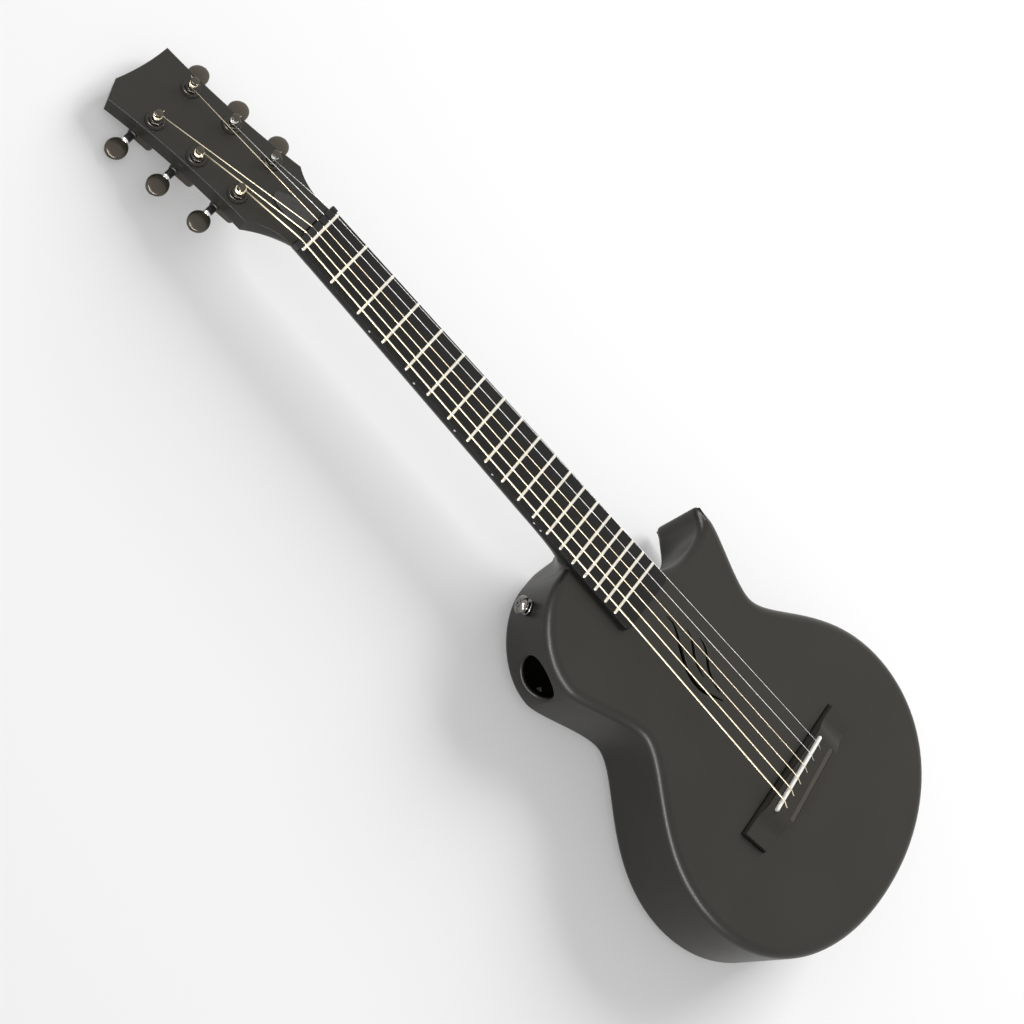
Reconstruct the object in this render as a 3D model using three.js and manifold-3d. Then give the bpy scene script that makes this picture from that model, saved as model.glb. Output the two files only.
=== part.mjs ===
// Travel guitar with a moulded body, neck and headstock, in millimetres.
// The parts are drawn in the playing frame and the whole guitar is then laid on its back.
// Playing frame: x across with the cutaway side positive, y along the strings towards the head
// with zero at the zero fret, z out of the front with zero at the tops of the frets.
import * as THREE from 'three';
import { mergeVertices } from 'three/addons/utils/BufferGeometryUtils.js';
import Module from 'manifold-3d';

const wasm = await Module();
wasm.setup();

// Clearances
const gap = 0.3;
const overrun = 2;

// Strings, thickest first
const scaleLength = 571.5;
const fretCount = 18;
const notesPerOctave = 12;
const stringNames = ['low_e', 'a', 'd', 'g', 'b', 'high_e'];
const stringDiameters = [1.35, 1.07, 0.81, 0.61, 0.41, 0.3];
const stringTurns = [2, 2.1, 2.4, 2.75, 3, 3];
const plainStringCount = 2;
const spreadAtZeroFret = 38.1;
const spreadAtSaddle = 61.8;
const stringShift = 0.7;
const turnSpacing = 0.5;
const stringTail = 2.6;
const stringBend = 0.5;
const ballRadius = 1.7;
const ballLength = 3;
const stringSides = 6;
const stepsPerTurn = 12;

// Body outline, measured from the body's end at the neck
const joinFret = 14;
const joinSetback = 1.6;
const bodyLength = 393;
const lowerHalfWidth = 147.4;
const lowerFromEnd = 270.5;
const bassWaistHalfWidth = 80.8;
const bassWaistFromEnd = 135.8;
const upperHalfWidth = 104.1;
const upperFromEnd = 64;
const shoulderX = 38.2;
const trebleWaistHalfWidth = 85.5;
const trebleWaistFromEnd = 138.5;
const hornHalfWidth = 107.1;
const hornFromEnd = 69.5;
const hornTipX = 103.2;
const hornTipFromEnd = 53.3;
const hornTipRadius = 3;
const cutFloorX = 64.5;
const cutFloorFromEnd = 70.4;
const cutSideX = 28;
const cutSideFromEnd = 49.5;
const hornTipSlant = 8;
const cutFloorSlant = 16;

// Handle lengths of the outline's curves, as shares of the stretch that each one spans
const tailHandleShare = 0.6;
const lowerHandleShares = [0.57, 0.54];
const waistHandleShares = [0.21, 0.26];
const upperHandleShares = [0.2, 0.53];
const shoulderHandleShare = 0.46;
const hornHandleShare = 0.5;
const cutHandleShares = [0.5, 0.55, 0.42, 0.3];

// Body depth and walls
const frontZ = -6.5;
const depthAtEnd = 65.1;
const depthAtTail = 83.5;
const wall = 3;
const edgeRadius = 8;
const cavityRadius = 5;
const lipDepth = 5;
const lipThickness = 2;
const neckBlockLength = 33.5;
const neckBlockBassX = 45;
const neckBlockTrebleX = 27;

// Sound slots
const slotFromBridgeEnds = [161.5, 140.9, 127.4];
const slotLengths = [81.9, 35.8, 42.4];
const slotSwings = [12.5, 16.3, 19.8];
const slotWidths = [3.6, 2.8, 2.8];
const slotTipWidth = 0.8;

// The middle line of each slot, as shares of its swing across and of its length
const slotLineShares = [
  [[0.76, 0], [0.76, 0.1], [0.45, 0.2], [0.08, 0.28], [-0.38, 0.39], [-0.78, 0.5], [-1, 0.64],
    [-0.97, 0.77], [-0.59, 0.9], [-0.32, 1]],
  [[1, 0], [0.83, 0.19], [0.55, 0.37], [0.23, 0.54], [-0.02, 0.76], [-0.16, 1]],
  [[1, 0], [0.91, 0.165], [0.69, 0.32], [0.37, 0.48], [0.17, 0.64], [0.03, 0.82], [-0.035, 1]],
];

// Sound port in the bass side wall
const portHalfLength = 19.5;
const portHalfHeight = 17;
const portDepth = 31.8;
const portPlaceShare = 0.82;

// Neck
const neckDepthAtNut = 12.5;
const neckDepthAtHeel = 14.5;
const heelLength = 56.5;
const heelFillet = 9;
const heelRise = 11;
const neckTuckX = 26;
const neckJoinLength = 5;

// Powers that shape a section: one is an ellipse, zero is a square, above one is a keel
const neckPower = 1;
const heelPower = 1.25;
const headPower = 0.03;

// Fretboard
const boardHalfAtNut = 23.2;
const boardHalfAtEnd = 30.5;
const boardThickness = 4.8;
const boardPastZeroFret = 1.6;
const boardPastLastFret = 18.5;
const boardCornerRadius = 5;
const fretCrownHeight = 1.1;
const fretCrownWidth = 2.2;
const zeroFretWidth = 2.8;
const fretTangWidth = 0.6;
const fretTangDepth = 2;
const fretEndInset = 0.5;

// Nut
const nutLength = 5.5;
const nutRise = 1.4;
const nutSlotDrop = 0.25;
const nutRound = 1.2;

// Headstock
const headTiltDegrees = 12.5;
const headThickness = 14.5;
const headHalfWidth = 35;
const headWaist = 3;
const headFlareLength = 36.9;
const headFlareControl = 22.6;
const headLength = 170.3;
const crestPeakX = 16.7;
const crestPeakRise = 7.8;
const crestSagX = 9.2;
const crestSagRise = 0.4;

// Tuners
const postX = 21.4;
const firstPostV = 54.5;
const postSpacing = 40.4;
const postRise = 12;
const postRadius = 3;
const postWaistRadius = 2.5;
const postCapRadius = 3.3;
const postCapHeight = 1.4;
const postHoleHeight = 9.5;
const washerRadius = 8.3;
const washerThickness = 1;
const hexAcrossFlats = 10;
const hexHeight = 2.5;
const collarRadius = 3.9;
const collarLength = 8;
const wormDepth = 21.5;
const wheelTeeth = 18;
const wheelPitchRadius = 6.1;
const wheelWidth = 3;
const wormPitchRadius = 2.6;
const toothAddendum = 0.5;
const toothDedendum = 0.65;
const backlash = 0.7;
const wormPitchCount = 3;
const pressureAngleDegrees = 20;
const threadStartTurn = 0.25;
const housingWall = 1.4;
const housingRound = 4;
const housingEdge = 1.6;
const runningGap = 0.6;
const shaftRadius = 1.5;
const sleeveRadius = 3.3;
const sleeveEnd = 16.6;
const bearingDepth = 3;
const knobMiddle = 27.3;
const knobLength = 19;
const knobWidth = 17.3;
const knobThickness = 7.6;
const knobRimThickness = 3.2;
const knobHubRadius = 3.7;
const knobHubLength = 1.5;

// Bridge and saddle
const bridgeBassX = 73.5;
const bridgeTrebleX = 71.5;
const bridgeFrontGap = 2;
const bridgeFrontSlant = 2;
const bridgeWingDepth = 24.6;
const bridgeDepth = 33.7;
const bridgeBellyHalf = 56;
const bellyHandleShares = [0.71, 0.54];
const bridgeRampFoot = 50;
const bridgeRampHead = 45;
const bridgeEndInset = 3;
const bridgeThickness = 7.2;
const bridgeWingThickness = 4;
const saddleBassX = 41;
const saddleTrebleX = 39;
const saddleBassSetback = 7.7;
const saddleTrebleSetback = 3.6;
const saddleThickness = 3.2;
const saddleTopZ = 3.6;
const saddleSeatDepth = 4;
const grooveBassX = 36.3;
const grooveTrebleX = 40.4;
const grooveBassSetback = 24.5;
const grooveTrebleSetback = 18.9;
const grooveWidth = 4.5;
const grooveDepth = 1;
const ballInset = 1.6;
const ballBaseHeight = 3.6;

// Truss rod, its nut and its cover
const rodLength = 300;
const rodWidth = 6;
const rodHeight = 9;
const rodThreadRadius = 2;
const rodThreadLength = 9;
const rodEndY = 3;
const rodThreadDrop = 6;
const rodNutRadius = 3.2;
const rodNutLength = 10;
const rodNutBore = 5;
const rodNutSocket = 4;
const rodNutSocketAcross = 3.5;
const keyRoom = 8;
const coverLength = 35.6;
const coverHalfWidth = 8.6;
const coverStartV = 0.6;
const coverShoulderV = 12;
const coverTipRadius = 2.2;
const coverThickness = 1.5;
const coverShift = 0.7;

// Strap buttons
const strapFlangeRadius = 6.5;
const strapFlangeThickness = 2;
const strapWaistRadius = 4;
const strapHeadRadius = 7.8;
const strapLength = 10.5;
const strapHeadThickness = 3.5;
const strapRecessRadius = 3.6;
const strapRecessDepth = 1.2;
const strapScrewRadius = 2;
const strapScrewLength = 9;
const sideStrapDepth = 31.5;
const sideStrapPlaceShare = 0.255;
const tailStrapDepth = 41.5;

// Fineness of round shapes, as counts
const roundSteps = 12;
const smallRoundSteps = 8;
const edgeSteps = 3;
const neckSteps = 12;
const heelSteps = 8;
const flareSteps = 6;
const waistSteps = 5;
const crestSteps = 6;
const sideCurveSteps = [7, 9, 11];
const cutawayCurveSteps = [5, 3, 6, 7];
const shoulderSteps = 10;
const neckSideSteps = 2;
const bellySteps = 6;
const wormSteps = 8;
const domeSteps = 2;
const knobSteps = 14;

// Smallest distance that counts, and how much of the room to the middle a ring may use
const weldDistance = 0.0001;
const insetLimitShare = 0.9;

// Places worked out from the sizes
const fretY = (n) => -scaleLength * (1 - 2 ** (-n / notesPerOctave));
const bodyEndY = fretY(joinFret) - joinSetback;
const tailY = bodyEndY - bodyLength;
const backSlope = (depthAtTail - depthAtEnd) / bodyLength;
const backZ = (y) => frontZ - depthAtEnd - backSlope * (bodyEndY - y);
const seamZ = (y) => backZ(y) + edgeRadius;
const cavityCeilingZ = frontZ - wall;
const boardBottomZ = frontZ + gap;
const boardTopZ = boardBottomZ + boardThickness;
const boardStartY = boardPastZeroFret;
const boardEndY = fretY(fretCount) - boardPastLastFret;
const boardHalf = (y) => {
  const share = (boardStartY - y) / (boardStartY - boardEndY);
  return THREE.MathUtils.lerp(boardHalfAtNut, boardHalfAtEnd, share);
};
const nutStartY = boardStartY + gap;
const nutEndY = nutStartY + nutLength;
const headStartY = nutEndY + gap;
const headStartZ = boardBottomZ;
const headTilt = THREE.MathUtils.degToRad(headTiltDegrees);
const headMatrix = new THREE.Matrix4()
  .makeTranslation(0, headStartY, headStartZ)
  .multiply(new THREE.Matrix4().makeRotationX(-headTilt));
const bridgeFrontY = -scaleLength + bridgeFrontGap;
const bridgeTopZ = boardBottomZ + bridgeThickness;
const vec2 = (x, y) => new THREE.Vector2(x, y);
const vec3 = (x, y, z) => new THREE.Vector3(x, y, z);

// Solids and surfaces

function signedVolume(positions, triangles) {
  const corners = [vec3(0, 0, 0), vec3(0, 0, 0), vec3(0, 0, 0)];
  let sum = 0;
  for (let t = 0; t < triangles.length; t += corners.length) {
    corners.forEach((corner, k) => corner.fromArray(positions, triangles[t + k] * 3));
    sum += corners[0].dot(corners[1].cross(corners[2]));
  }
  return sum;
}

// Shared corners are merged, empty triangles dropped and the faces turned outwards.
function weld(geometry) {
  const bare = geometry.clone();
  Object.keys(bare.attributes).filter((name) => name !== 'position')
    .forEach((name) => bare.deleteAttribute(name));
  const merged = mergeVertices(bare, weldDistance);
  const positions = merged.attributes.position.array;
  const source = merged.index.array;
  const triangles = [];
  for (let t = 0; t < source.length; t += 3) {
    const [a, b, c] = [source[t], source[t + 1], source[t + 2]];
    if (a !== b && b !== c && c !== a) {
      triangles.push(a, b, c);
    }
  }
  if (signedVolume(positions, triangles) < 0) {
    triangles.reverse();
  }
  const welded = new THREE.BufferGeometry();
  welded.setAttribute('position', new THREE.BufferAttribute(new Float32Array(positions), 3));
  welded.setIndex(triangles);
  return welded;
}

function toSolid(geometry) {
  const welded = weld(geometry);
  return new wasm.Manifold(new wasm.Mesh({
    numProp: 3,
    vertProperties: new Float32Array(welded.attributes.position.array),
    triVerts: new Uint32Array(welded.index.array),
  }));
}

function toGeometry(solid) {
  const mesh = solid.getMesh();
  const geometry = new THREE.BufferGeometry();
  const positions = new Float32Array(mesh.vertProperties);
  geometry.setAttribute('position', new THREE.BufferAttribute(positions, 3));
  geometry.setIndex(Array.from(mesh.triVerts));
  return geometry;
}

// Corner numbers of the triangles that close a ring, wound as the ring itself is.
function capTriangles(ring) {
  const normal = vec3(0, 0, 0);
  ring.forEach((point, i) => {
    normal.add(point.clone().cross(ring[(i + 1) % ring.length]));
  });
  normal.normalize();
  const across = vec3(normal.z, normal.x, normal.y).cross(normal).normalize();
  const along = normal.clone().cross(across);
  const flat = ring.map((point) => vec2(point.dot(across), point.dot(along)));
  const ringIsPositive = THREE.ShapeUtils.area(flat) > 0;
  return THREE.ShapeUtils.triangulateShape(flat, []).map((face) => {
    const isPositive = THREE.ShapeUtils.area(face.map((corner) => flat[corner])) > 0;
    return isPositive === ringIsPositive ? face : [...face].reverse();
  });
}

// A closed surface through rings of equal count, with a flat cap at each end.
function skin(rings) {
  const count = rings[0].length;
  const triangles = [];
  for (let level = 0; level + 1 < rings.length; level += 1) {
    for (let i = 0; i < count; i += 1) {
      const a = level * count + i;
      const b = level * count + (i + 1) % count;
      triangles.push(a, a + count, b, b, a + count, b + count);
    }
  }
  const lastStart = (rings.length - 1) * count;
  capTriangles(rings[0]).forEach((face) => triangles.push(...face));
  capTriangles(rings[rings.length - 1]).forEach(([a, b, c]) => {
    triangles.push(lastStart + c, lastStart + b, lastStart + a);
  });
  const geometry = new THREE.BufferGeometry();
  const positions = rings.flat().flatMap((point) => [point.x, point.y, point.z]);
  geometry.setAttribute('position', new THREE.Float32BufferAttribute(positions, 3));
  geometry.setIndex(triangles);
  return weld(geometry);
}

// A box from its lowest to its highest corner.
function block(low, high) {
  const size = high.clone().sub(low);
  const centre = low.clone().add(high).multiplyScalar(0.5);
  return new THREE.BoxGeometry(size.x, size.y, size.z).translate(centre.x, centre.y, centre.z);
}

// A plan drawn in x and y, standing from one height to another.
function slab(shape, lowZ, highZ, curveSegments = edgeSteps) {
  const geometry = new THREE.ExtrudeGeometry(shape, {
    depth: highZ - lowZ, bevelEnabled: false, curveSegments,
  });
  return geometry.translate(0, 0, lowZ);
}

// A profile of radius and height, turned about z.
function turned(profile, segments = roundSteps) {
  const points = profile.map(([radius, height]) => vec2(radius, height));
  return new THREE.LatheGeometry(points, segments).rotateX(Math.PI / 2);
}

// A round bar about z between two heights.
function bar(radius, lowZ, highZ, segments = roundSteps) {
  return turned([[0, lowZ], [radius, lowZ], [radius, highZ], [0, highZ]], segments);
}

// The turn that takes the z axis to a direction.
function turnZTo(direction) {
  return new THREE.Quaternion().setFromUnitVectors(vec3(0, 0, 1), direction.clone().normalize());
}

function placeAlong(geometry, start, direction) {
  const matrix = new THREE.Matrix4().makeRotationFromQuaternion(turnZTo(direction));
  matrix.setPosition(start);
  return geometry.clone().applyMatrix4(matrix);
}

// A flat bar of a given width lying along a line in plan.
function plank(from, to, width, lowZ, highZ, past) {
  const way = to.clone().sub(from).normalize();
  const side = vec2(-way.y, way.x).multiplyScalar(width / 2);
  const start = from.clone().addScaledVector(way, -past);
  const end = to.clone().addScaledVector(way, past);
  const corners = [
    start.clone().sub(side), end.clone().sub(side), end.clone().add(side), start.clone().add(side),
  ];
  return slab(new THREE.Shape(corners), lowZ, highZ);
}

// A tube through points, its rings carried along the path without twist.
function tube(points, radius, sides) {
  const rings = [];
  const normal = vec3(0, 0, 0);
  points.forEach((point, i) => {
    const before = points[Math.max(i - 1, 0)];
    const after = points[Math.min(i + 1, points.length - 1)];
    const way = after.clone().sub(point).normalize().add(point.clone().sub(before).normalize());
    way.normalize();
    if (i === 0) {
      normal.set(way.y, way.z, way.x).cross(way);
    }
    normal.addScaledVector(way, -normal.dot(way)).normalize();
    const other = way.clone().cross(normal);
    const ring = [];
    for (let k = 0; k < sides; k += 1) {
      const angle = 2 * Math.PI * k / sides;
      ring.push(point.clone().addScaledVector(normal, radius * Math.cos(angle))
        .addScaledVector(other, radius * Math.sin(angle)));
    }
    rings.push(ring);
  });
  return skin(rings);
}

// Body outline

function curve(start, startHandle, endHandle, end) {
  return new THREE.CubicBezierCurve(start, startHandle, endHandle, end);
}

const shoulderCurve = curve(
  vec2(-shoulderX, bodyEndY),
  vec2(-THREE.MathUtils.lerp(shoulderX, upperHalfWidth, shoulderHandleShare), bodyEndY),
  vec2(-upperHalfWidth, bodyEndY - upperFromEnd * (1 - upperHandleShares[1])),
  vec2(-upperHalfWidth, bodyEndY - upperFromEnd),
);

// The way from the upper bout over the waist to the tail, on either side.
function sideCurves(side, upperX, upperY, waistX, waistY) {
  const lowerY = bodyEndY - lowerFromEnd;
  const waistDrop = upperY - waistY;
  const lowerDrop = waistY - lowerY;
  const tailDrop = lowerY - tailY;
  return [
    curve(
      vec2(side * upperX, upperY),
      vec2(side * upperX, upperY - waistDrop * upperHandleShares[0]),
      vec2(side * waistX, waistY + waistDrop * waistHandleShares[1]),
      vec2(side * waistX, waistY),
    ),
    curve(
      vec2(side * waistX, waistY),
      vec2(side * waistX, waistY - lowerDrop * waistHandleShares[0]),
      vec2(side * lowerHalfWidth, lowerY + lowerDrop * lowerHandleShares[1]),
      vec2(side * lowerHalfWidth, lowerY),
    ),
    curve(
      vec2(side * lowerHalfWidth, lowerY),
      vec2(side * lowerHalfWidth, lowerY - tailDrop * lowerHandleShares[0]),
      vec2(side * lowerHalfWidth * tailHandleShare, tailY),
      vec2(0, tailY),
    ),
  ];
}

function turnedBack(curves) {
  return curves.map(({ v0, v1, v2, v3 }) => curve(v3, v2, v1, v0)).reverse();
}

// The horn's tip and the cutaway, which slants towards the tail as it nears the back.
function cutawayCurves(depthShare) {
  const hornY = bodyEndY - hornFromEnd;
  const tipY = bodyEndY - hornTipFromEnd - hornTipSlant * depthShare;
  const floorY = bodyEndY - cutFloorFromEnd - cutFloorSlant * depthShare;
  const sideY = bodyEndY - cutSideFromEnd - cutFloorSlant * depthShare;
  const floorRun = hornTipX - cutFloorX;
  const sideRun = cutFloorX - cutSideX;
  const wayDown = vec2(-floorRun, (floorY - tipY) * 2).normalize();
  const tip = vec2(hornTipX, tipY);
  const afterTip = tip.clone().addScaledVector(wayDown, hornTipRadius * 2);
  const floor = vec2(cutFloorX, floorY);
  const side = vec2(cutSideX, sideY);
  const tipHandle = vec2(hornTipX + hornTipRadius, tipY);
  return [
    curve(
      vec2(hornHalfWidth, hornY),
      vec2(hornHalfWidth, THREE.MathUtils.lerp(hornY, tipY, hornHandleShare)),
      tipHandle,
      tip,
    ),
    curve(
      tip,
      vec2(hornTipX - hornTipRadius / 2, tipY),
      afterTip.clone().addScaledVector(wayDown, -hornTipRadius / 2),
      afterTip,
    ),
    curve(
      afterTip,
      afterTip.clone().addScaledVector(wayDown, floorRun * cutHandleShares[0]),
      vec2(cutFloorX + floorRun * cutHandleShares[1], floorY),
      floor,
    ),
    curve(
      floor,
      vec2(cutFloorX - sideRun * cutHandleShares[2], floorY),
      vec2(cutSideX, sideY - cutSideFromEnd * cutHandleShares[3]),
      side,
    ),
  ];
}

// The body's outline seen from the front, counterclockwise, at a share of its depth.
function bodyOutline(depthShare) {
  const bass = sideCurves(-1, upperHalfWidth, bodyEndY - upperFromEnd,
    bassWaistHalfWidth, bodyEndY - bassWaistFromEnd);
  const treble = turnedBack(sideCurves(1, hornHalfWidth, bodyEndY - hornFromEnd,
    trebleWaistHalfWidth, bodyEndY - trebleWaistFromEnd));
  const cut = cutawayCurves(depthShare);
  const neckSide = new THREE.LineCurve(cut[cut.length - 1].v3, vec2(cutSideX, bodyEndY));
  const pieces = [
    [shoulderCurve, shoulderSteps],
    ...bass.map((piece, i) => [piece, sideCurveSteps[i]]),
    ...treble.map((piece, i) => [piece, sideCurveSteps[sideCurveSteps.length - 1 - i]]),
    ...cut.map((piece, i) => [piece, cutawayCurveSteps[i]]),
    [neckSide, neckSideSteps],
  ];
  const points = pieces.flatMap(([piece, steps]) => piece.getPoints(steps).slice(0, steps));
  points.push(vec2(cutSideX, bodyEndY));
  return points;
}

// Inward directions at the outline's points, and how far each may go before the sides meet.
function inwardWays(points) {
  return points.map((point, i) => {
    const before = points[(i + points.length - 1) % points.length];
    const after = points[(i + 1) % points.length];
    const way = after.clone().sub(point).normalize().add(point.clone().sub(before).normalize());
    way.normalize();
    return vec2(-way.y, way.x);
  });
}

function insetLimits(points, ways) {
  return points.map((point, i) => {
    const reaches = points.map((other) => {
      const step = other.clone().sub(point);
      const lean = step.dot(ways[i]);
      return lean > weldDistance ? step.lengthSq() / (2 * lean) : Infinity;
    });
    return Math.min(...reaches);
  });
}

const middleOutline = bodyOutline(0.5);
const middleLimits = insetLimits(middleOutline, inwardWays(middleOutline));

// One ring of the body: the outline at a depth share, drawn in by an inset and set at a height.
function bodyRing(depthShare, inset, height, leastRoom = 0) {
  const points = bodyOutline(depthShare);
  const ways = inwardWays(points);
  const limits = insetLimits(points, ways);
  return points
    .map((point, i) => {
      const reach = Math.min(inset, limits[i] * insetLimitShare);
      const moved = point.clone().addScaledVector(ways[i], reach);
      return vec3(moved.x, moved.y, height(moved.y));
    })
    .filter((_, i) => middleLimits[i] >= leastRoom);
}

// Rings round a quarter circle, from the flat face to the wall.
function edgeRings(radius, flatInset, flatShare, wallShare, heightAt, leastRoom) {
  const rings = [];
  for (let step = 0; step <= edgeSteps; step += 1) {
    const angle = Math.PI / 2 * step / edgeSteps;
    const inset = flatInset + radius * (1 - Math.sin(angle));
    const fall = radius * (1 - Math.cos(angle));
    const share = THREE.MathUtils.lerp(flatShare, wallShare, fall / radius);
    rings.push(bodyRing(share, inset, (y) => heightAt(y, fall), leastRoom));
  }
  return rings;
}

const frontWallShare = edgeRadius / depthAtEnd;
const backWallShare = 1 - frontWallShare;

function bodyBlock() {
  const front = edgeRings(edgeRadius, 0, 0, frontWallShare, (y, fall) => frontZ - fall, 0);
  const back = edgeRings(edgeRadius, 0, 1, backWallShare, (y, fall) => backZ(y) + fall, 0);
  return toSolid(skin([...front, ...back.reverse()]));
}

// A slab that fills everything below a plane parallel to the back.
function belowPlane(heightAt) {
  const reach = lowerHalfWidth + overrun;
  const depth = depthAtTail + overrun;
  const corner = (x, y, drop) => vec3(x, y, heightAt(y) - drop);
  const ring = (y) => [
    corner(-reach, y, 0), corner(reach, y, 0), corner(reach, y, depth), corner(-reach, y, depth),
  ];
  return toSolid(skin([ring(tailY - overrun), ring(bodyEndY + overrun)]));
}

function neckBlockBox(clearance) {
  return toSolid(block(
    vec3(-neckBlockBassX - clearance, bodyEndY - neckBlockLength - clearance, backZ(tailY)),
    vec3(neckBlockTrebleX + clearance, bodyEndY + overrun, frontZ),
  ));
}

function cavitySpace() {
  const ceilingShare = wall / depthAtEnd;
  const room = wall + cavityRadius;
  const upper = edgeRings(cavityRadius, wall, ceilingShare, frontWallShare,
    (y, fall) => cavityCeilingZ - fall, room);
  const lower = bodyRing(backWallShare, wall, (y) => seamZ(y) - overrun, room);
  return toSolid(skin([...upper, lower])).subtract(neckBlockBox(0));
}

// Sound slots

function slotCutter(number) {
  const startY = bridgeFrontY + slotFromBridgeEnds[number];
  const width = slotWidths[number];
  const places = slotLineShares[number].map(([across, down]) => (
    vec3(across * slotSwings[number], startY - down * slotLengths[number], 0)
  ));
  const line = new THREE.CatmullRomCurve3(places);
  const steps = places.length - 1;
  const left = [];
  const right = [];
  for (let i = 0; i <= steps; i += 1) {
    const point = line.getPoint(i / steps);
    const way = line.getTangent(i / steps);
    const swell = Math.sin(Math.PI * i / steps);
    const half = THREE.MathUtils.lerp(slotTipWidth, width, swell) / 2;
    left.push(vec2(point.x - way.y * half, point.y + way.x * half));
    right.unshift(vec2(point.x + way.y * half, point.y - way.x * half));
  }
  return slab(new THREE.Shape([...left, ...right]), cavityCeilingZ - overrun, frontZ + overrun);
}

// Frames on the side wall: a point of the shoulder's outline, at a depth, facing outwards

function wallFrame(placeShare, depth) {
  const point = shoulderCurve.getPoint(placeShare);
  const way = shoulderCurve.getTangent(placeShare);
  const outward = vec3(way.y, -way.x, 0);
  return { point: vec3(point.x, point.y, frontZ - depth), outward };
}

const sideStrap = wallFrame(sideStrapPlaceShare, sideStrapDepth);
const tailStrap = { point: vec3(0, tailY, frontZ - tailStrapDepth), outward: vec3(0, -1, 0) };
const port = wallFrame(portPlaceShare, portDepth);

function portCutter() {
  const shape = new THREE.Shape();
  shape.absellipse(0, 0, portHalfHeight, portHalfLength, 0, 2 * Math.PI);
  const along = vec3(-port.outward.y, port.outward.x, 0);
  const basis = new THREE.Matrix4().makeBasis(vec3(0, 0, 1), along, port.outward.clone().negate());
  basis.setPosition(port.point);
  return slab(shape, -portHalfLength, portHalfLength, roundSteps).applyMatrix4(basis);
}

function strapScrewCutter(frame) {
  const hole = bar(strapScrewRadius + gap, -strapScrewLength - overrun, overrun, smallRoundSteps);
  return placeAlong(hole, frame.point, frame.outward);
}

// Neck and headstock

// Keeps the sign of a share of one and raises its size to a power; nothing stays nothing.
function powered(share, power) {
  return Math.abs(share) < weldDistance ? 0 : Math.sign(share) * Math.abs(share) ** power;
}

// A section across the neck or the head: flat on top, with a back between round and square.
function neckRing(y, bassHalf, trebleHalf, topZ, bottomZ, power) {
  const ring = [];
  for (let i = 0; i <= neckSteps; i += 1) {
    const angle = Math.PI * i / neckSteps;
    const across = powered(Math.cos(angle), power);
    const x = across * (across < 0 ? bassHalf : trebleHalf);
    ring.push(vec3(x, y, topZ - (topZ - bottomZ) * powered(Math.sin(angle), power)));
  }
  return ring;
}

// The head's sections, from the nut over the flare and the waist to past its tip.
function headRings() {
  const base = boardHalf(headStartY);
  const ring = (v, half, topZ, bottomZ, power) => (
    neckRing(v, half, half, topZ, bottomZ, power).map((point) => point.applyMatrix4(headMatrix))
  );
  const startBottom = -neckDepthAtNut - gap;
  const rings = [ring(0, base, -gap, startBottom, neckPower)];
  for (let step = 0; step <= flareSteps; step += 1) {
    const t = step / flareSteps;
    const v = 2 * t * (1 - t) * headFlareControl + t ** 2 * headFlareLength;
    const half = THREE.MathUtils.lerp(base, headHalfWidth, t ** 2);
    const settled = t * (2 - t);
    const bottom = THREE.MathUtils.lerp(startBottom, -headThickness, settled);
    rings.push(ring(v, half, 0, bottom, THREE.MathUtils.lerp(neckPower, headPower, settled)));
  }
  for (let step = 1; step <= waistSteps; step += 1) {
    const share = step / waistSteps;
    const v = THREE.MathUtils.lerp(headFlareLength, headLength, share);
    const half = headHalfWidth - headWaist * 4 * share * (1 - share);
    rings.push(ring(v, half, 0, -headThickness, headPower));
  }
  const pastTip = headLength + crestPeakRise + overrun;
  rings.push(ring(pastTip, headHalfWidth, 0, -headThickness, headPower));
  return rings;
}

// The neck runs from inside the body over the heel to the head's tip.
function neckSolid() {
  const heelStartY = bodyEndY + heelLength;
  const heelBottomZ = seamZ(bodyEndY) + heelRise;
  const shaftBottom = (y) => {
    const share = (headStartY - y) / (headStartY - heelStartY);
    return frontZ - THREE.MathUtils.lerp(neckDepthAtNut, neckDepthAtHeel, share);
  };
  const rings = headRings().reverse();
  [headStartY - neckJoinLength, heelStartY].forEach((y) => {
    rings.push(neckRing(y, boardHalf(y), boardHalf(y), frontZ, shaftBottom(y), neckPower));
  });
  for (let step = 1; step <= heelSteps; step += 1) {
    const angle = Math.PI / 2 * step / heelSteps;
    const y = heelStartY - heelLength * Math.sin(angle);
    const bottom = THREE.MathUtils.lerp(heelBottomZ, shaftBottom(heelStartY), Math.cos(angle));
    const power = THREE.MathUtils.lerp(neckPower, heelPower, Math.sin(angle));
    const into = Math.max(0, heelFillet - (y - bodyEndY));
    const flare = heelFillet - Math.sqrt(heelFillet ** 2 - into ** 2);
    rings.push(neckRing(y, boardHalf(y) + flare, boardHalf(y), frontZ, bottom, power));
  }
  const innerY = bodyEndY - neckBlockLength + overrun;
  rings.push(neckRing(innerY, neckTuckX, neckTuckX, frontZ, heelBottomZ, heelPower));
  return toSolid(skin(rings));
}

// What is cut away beyond the head's tip, along its crest.
function crestCutter() {
  const shape = new THREE.Shape();
  const side = headHalfWidth + overrun;
  const end = headLength + crestPeakRise + overrun * 2;
  shape.moveTo(-side, end);
  shape.lineTo(-side, headLength);
  shape.lineTo(-headHalfWidth, headLength);
  shape.lineTo(-crestPeakX, headLength + crestPeakRise);
  shape.quadraticCurveTo(crestSagX, headLength + crestSagRise, headHalfWidth, headLength);
  shape.lineTo(side, headLength);
  shape.lineTo(side, end);
  return toSolid(slab(shape, -headThickness - overrun, overrun, crestSteps).applyMatrix4(headMatrix));
}

const tuners = stringNames.map((name, i) => {
  const half = stringNames.length / 2;
  const isBass = i < half;
  const rank = isBass ? i : stringNames.length - 1 - i;
  return {
    name,
    hand: isBass ? -1 : 1,
    x: isBass ? -postX : postX,
    v: firstPostV + postSpacing * rank,
    diameter: stringDiameters[i],
    turns: stringTurns[i],
    number: i,
  };
});

const rodAxisZ = frontZ - gap - rodThreadDrop;

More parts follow.
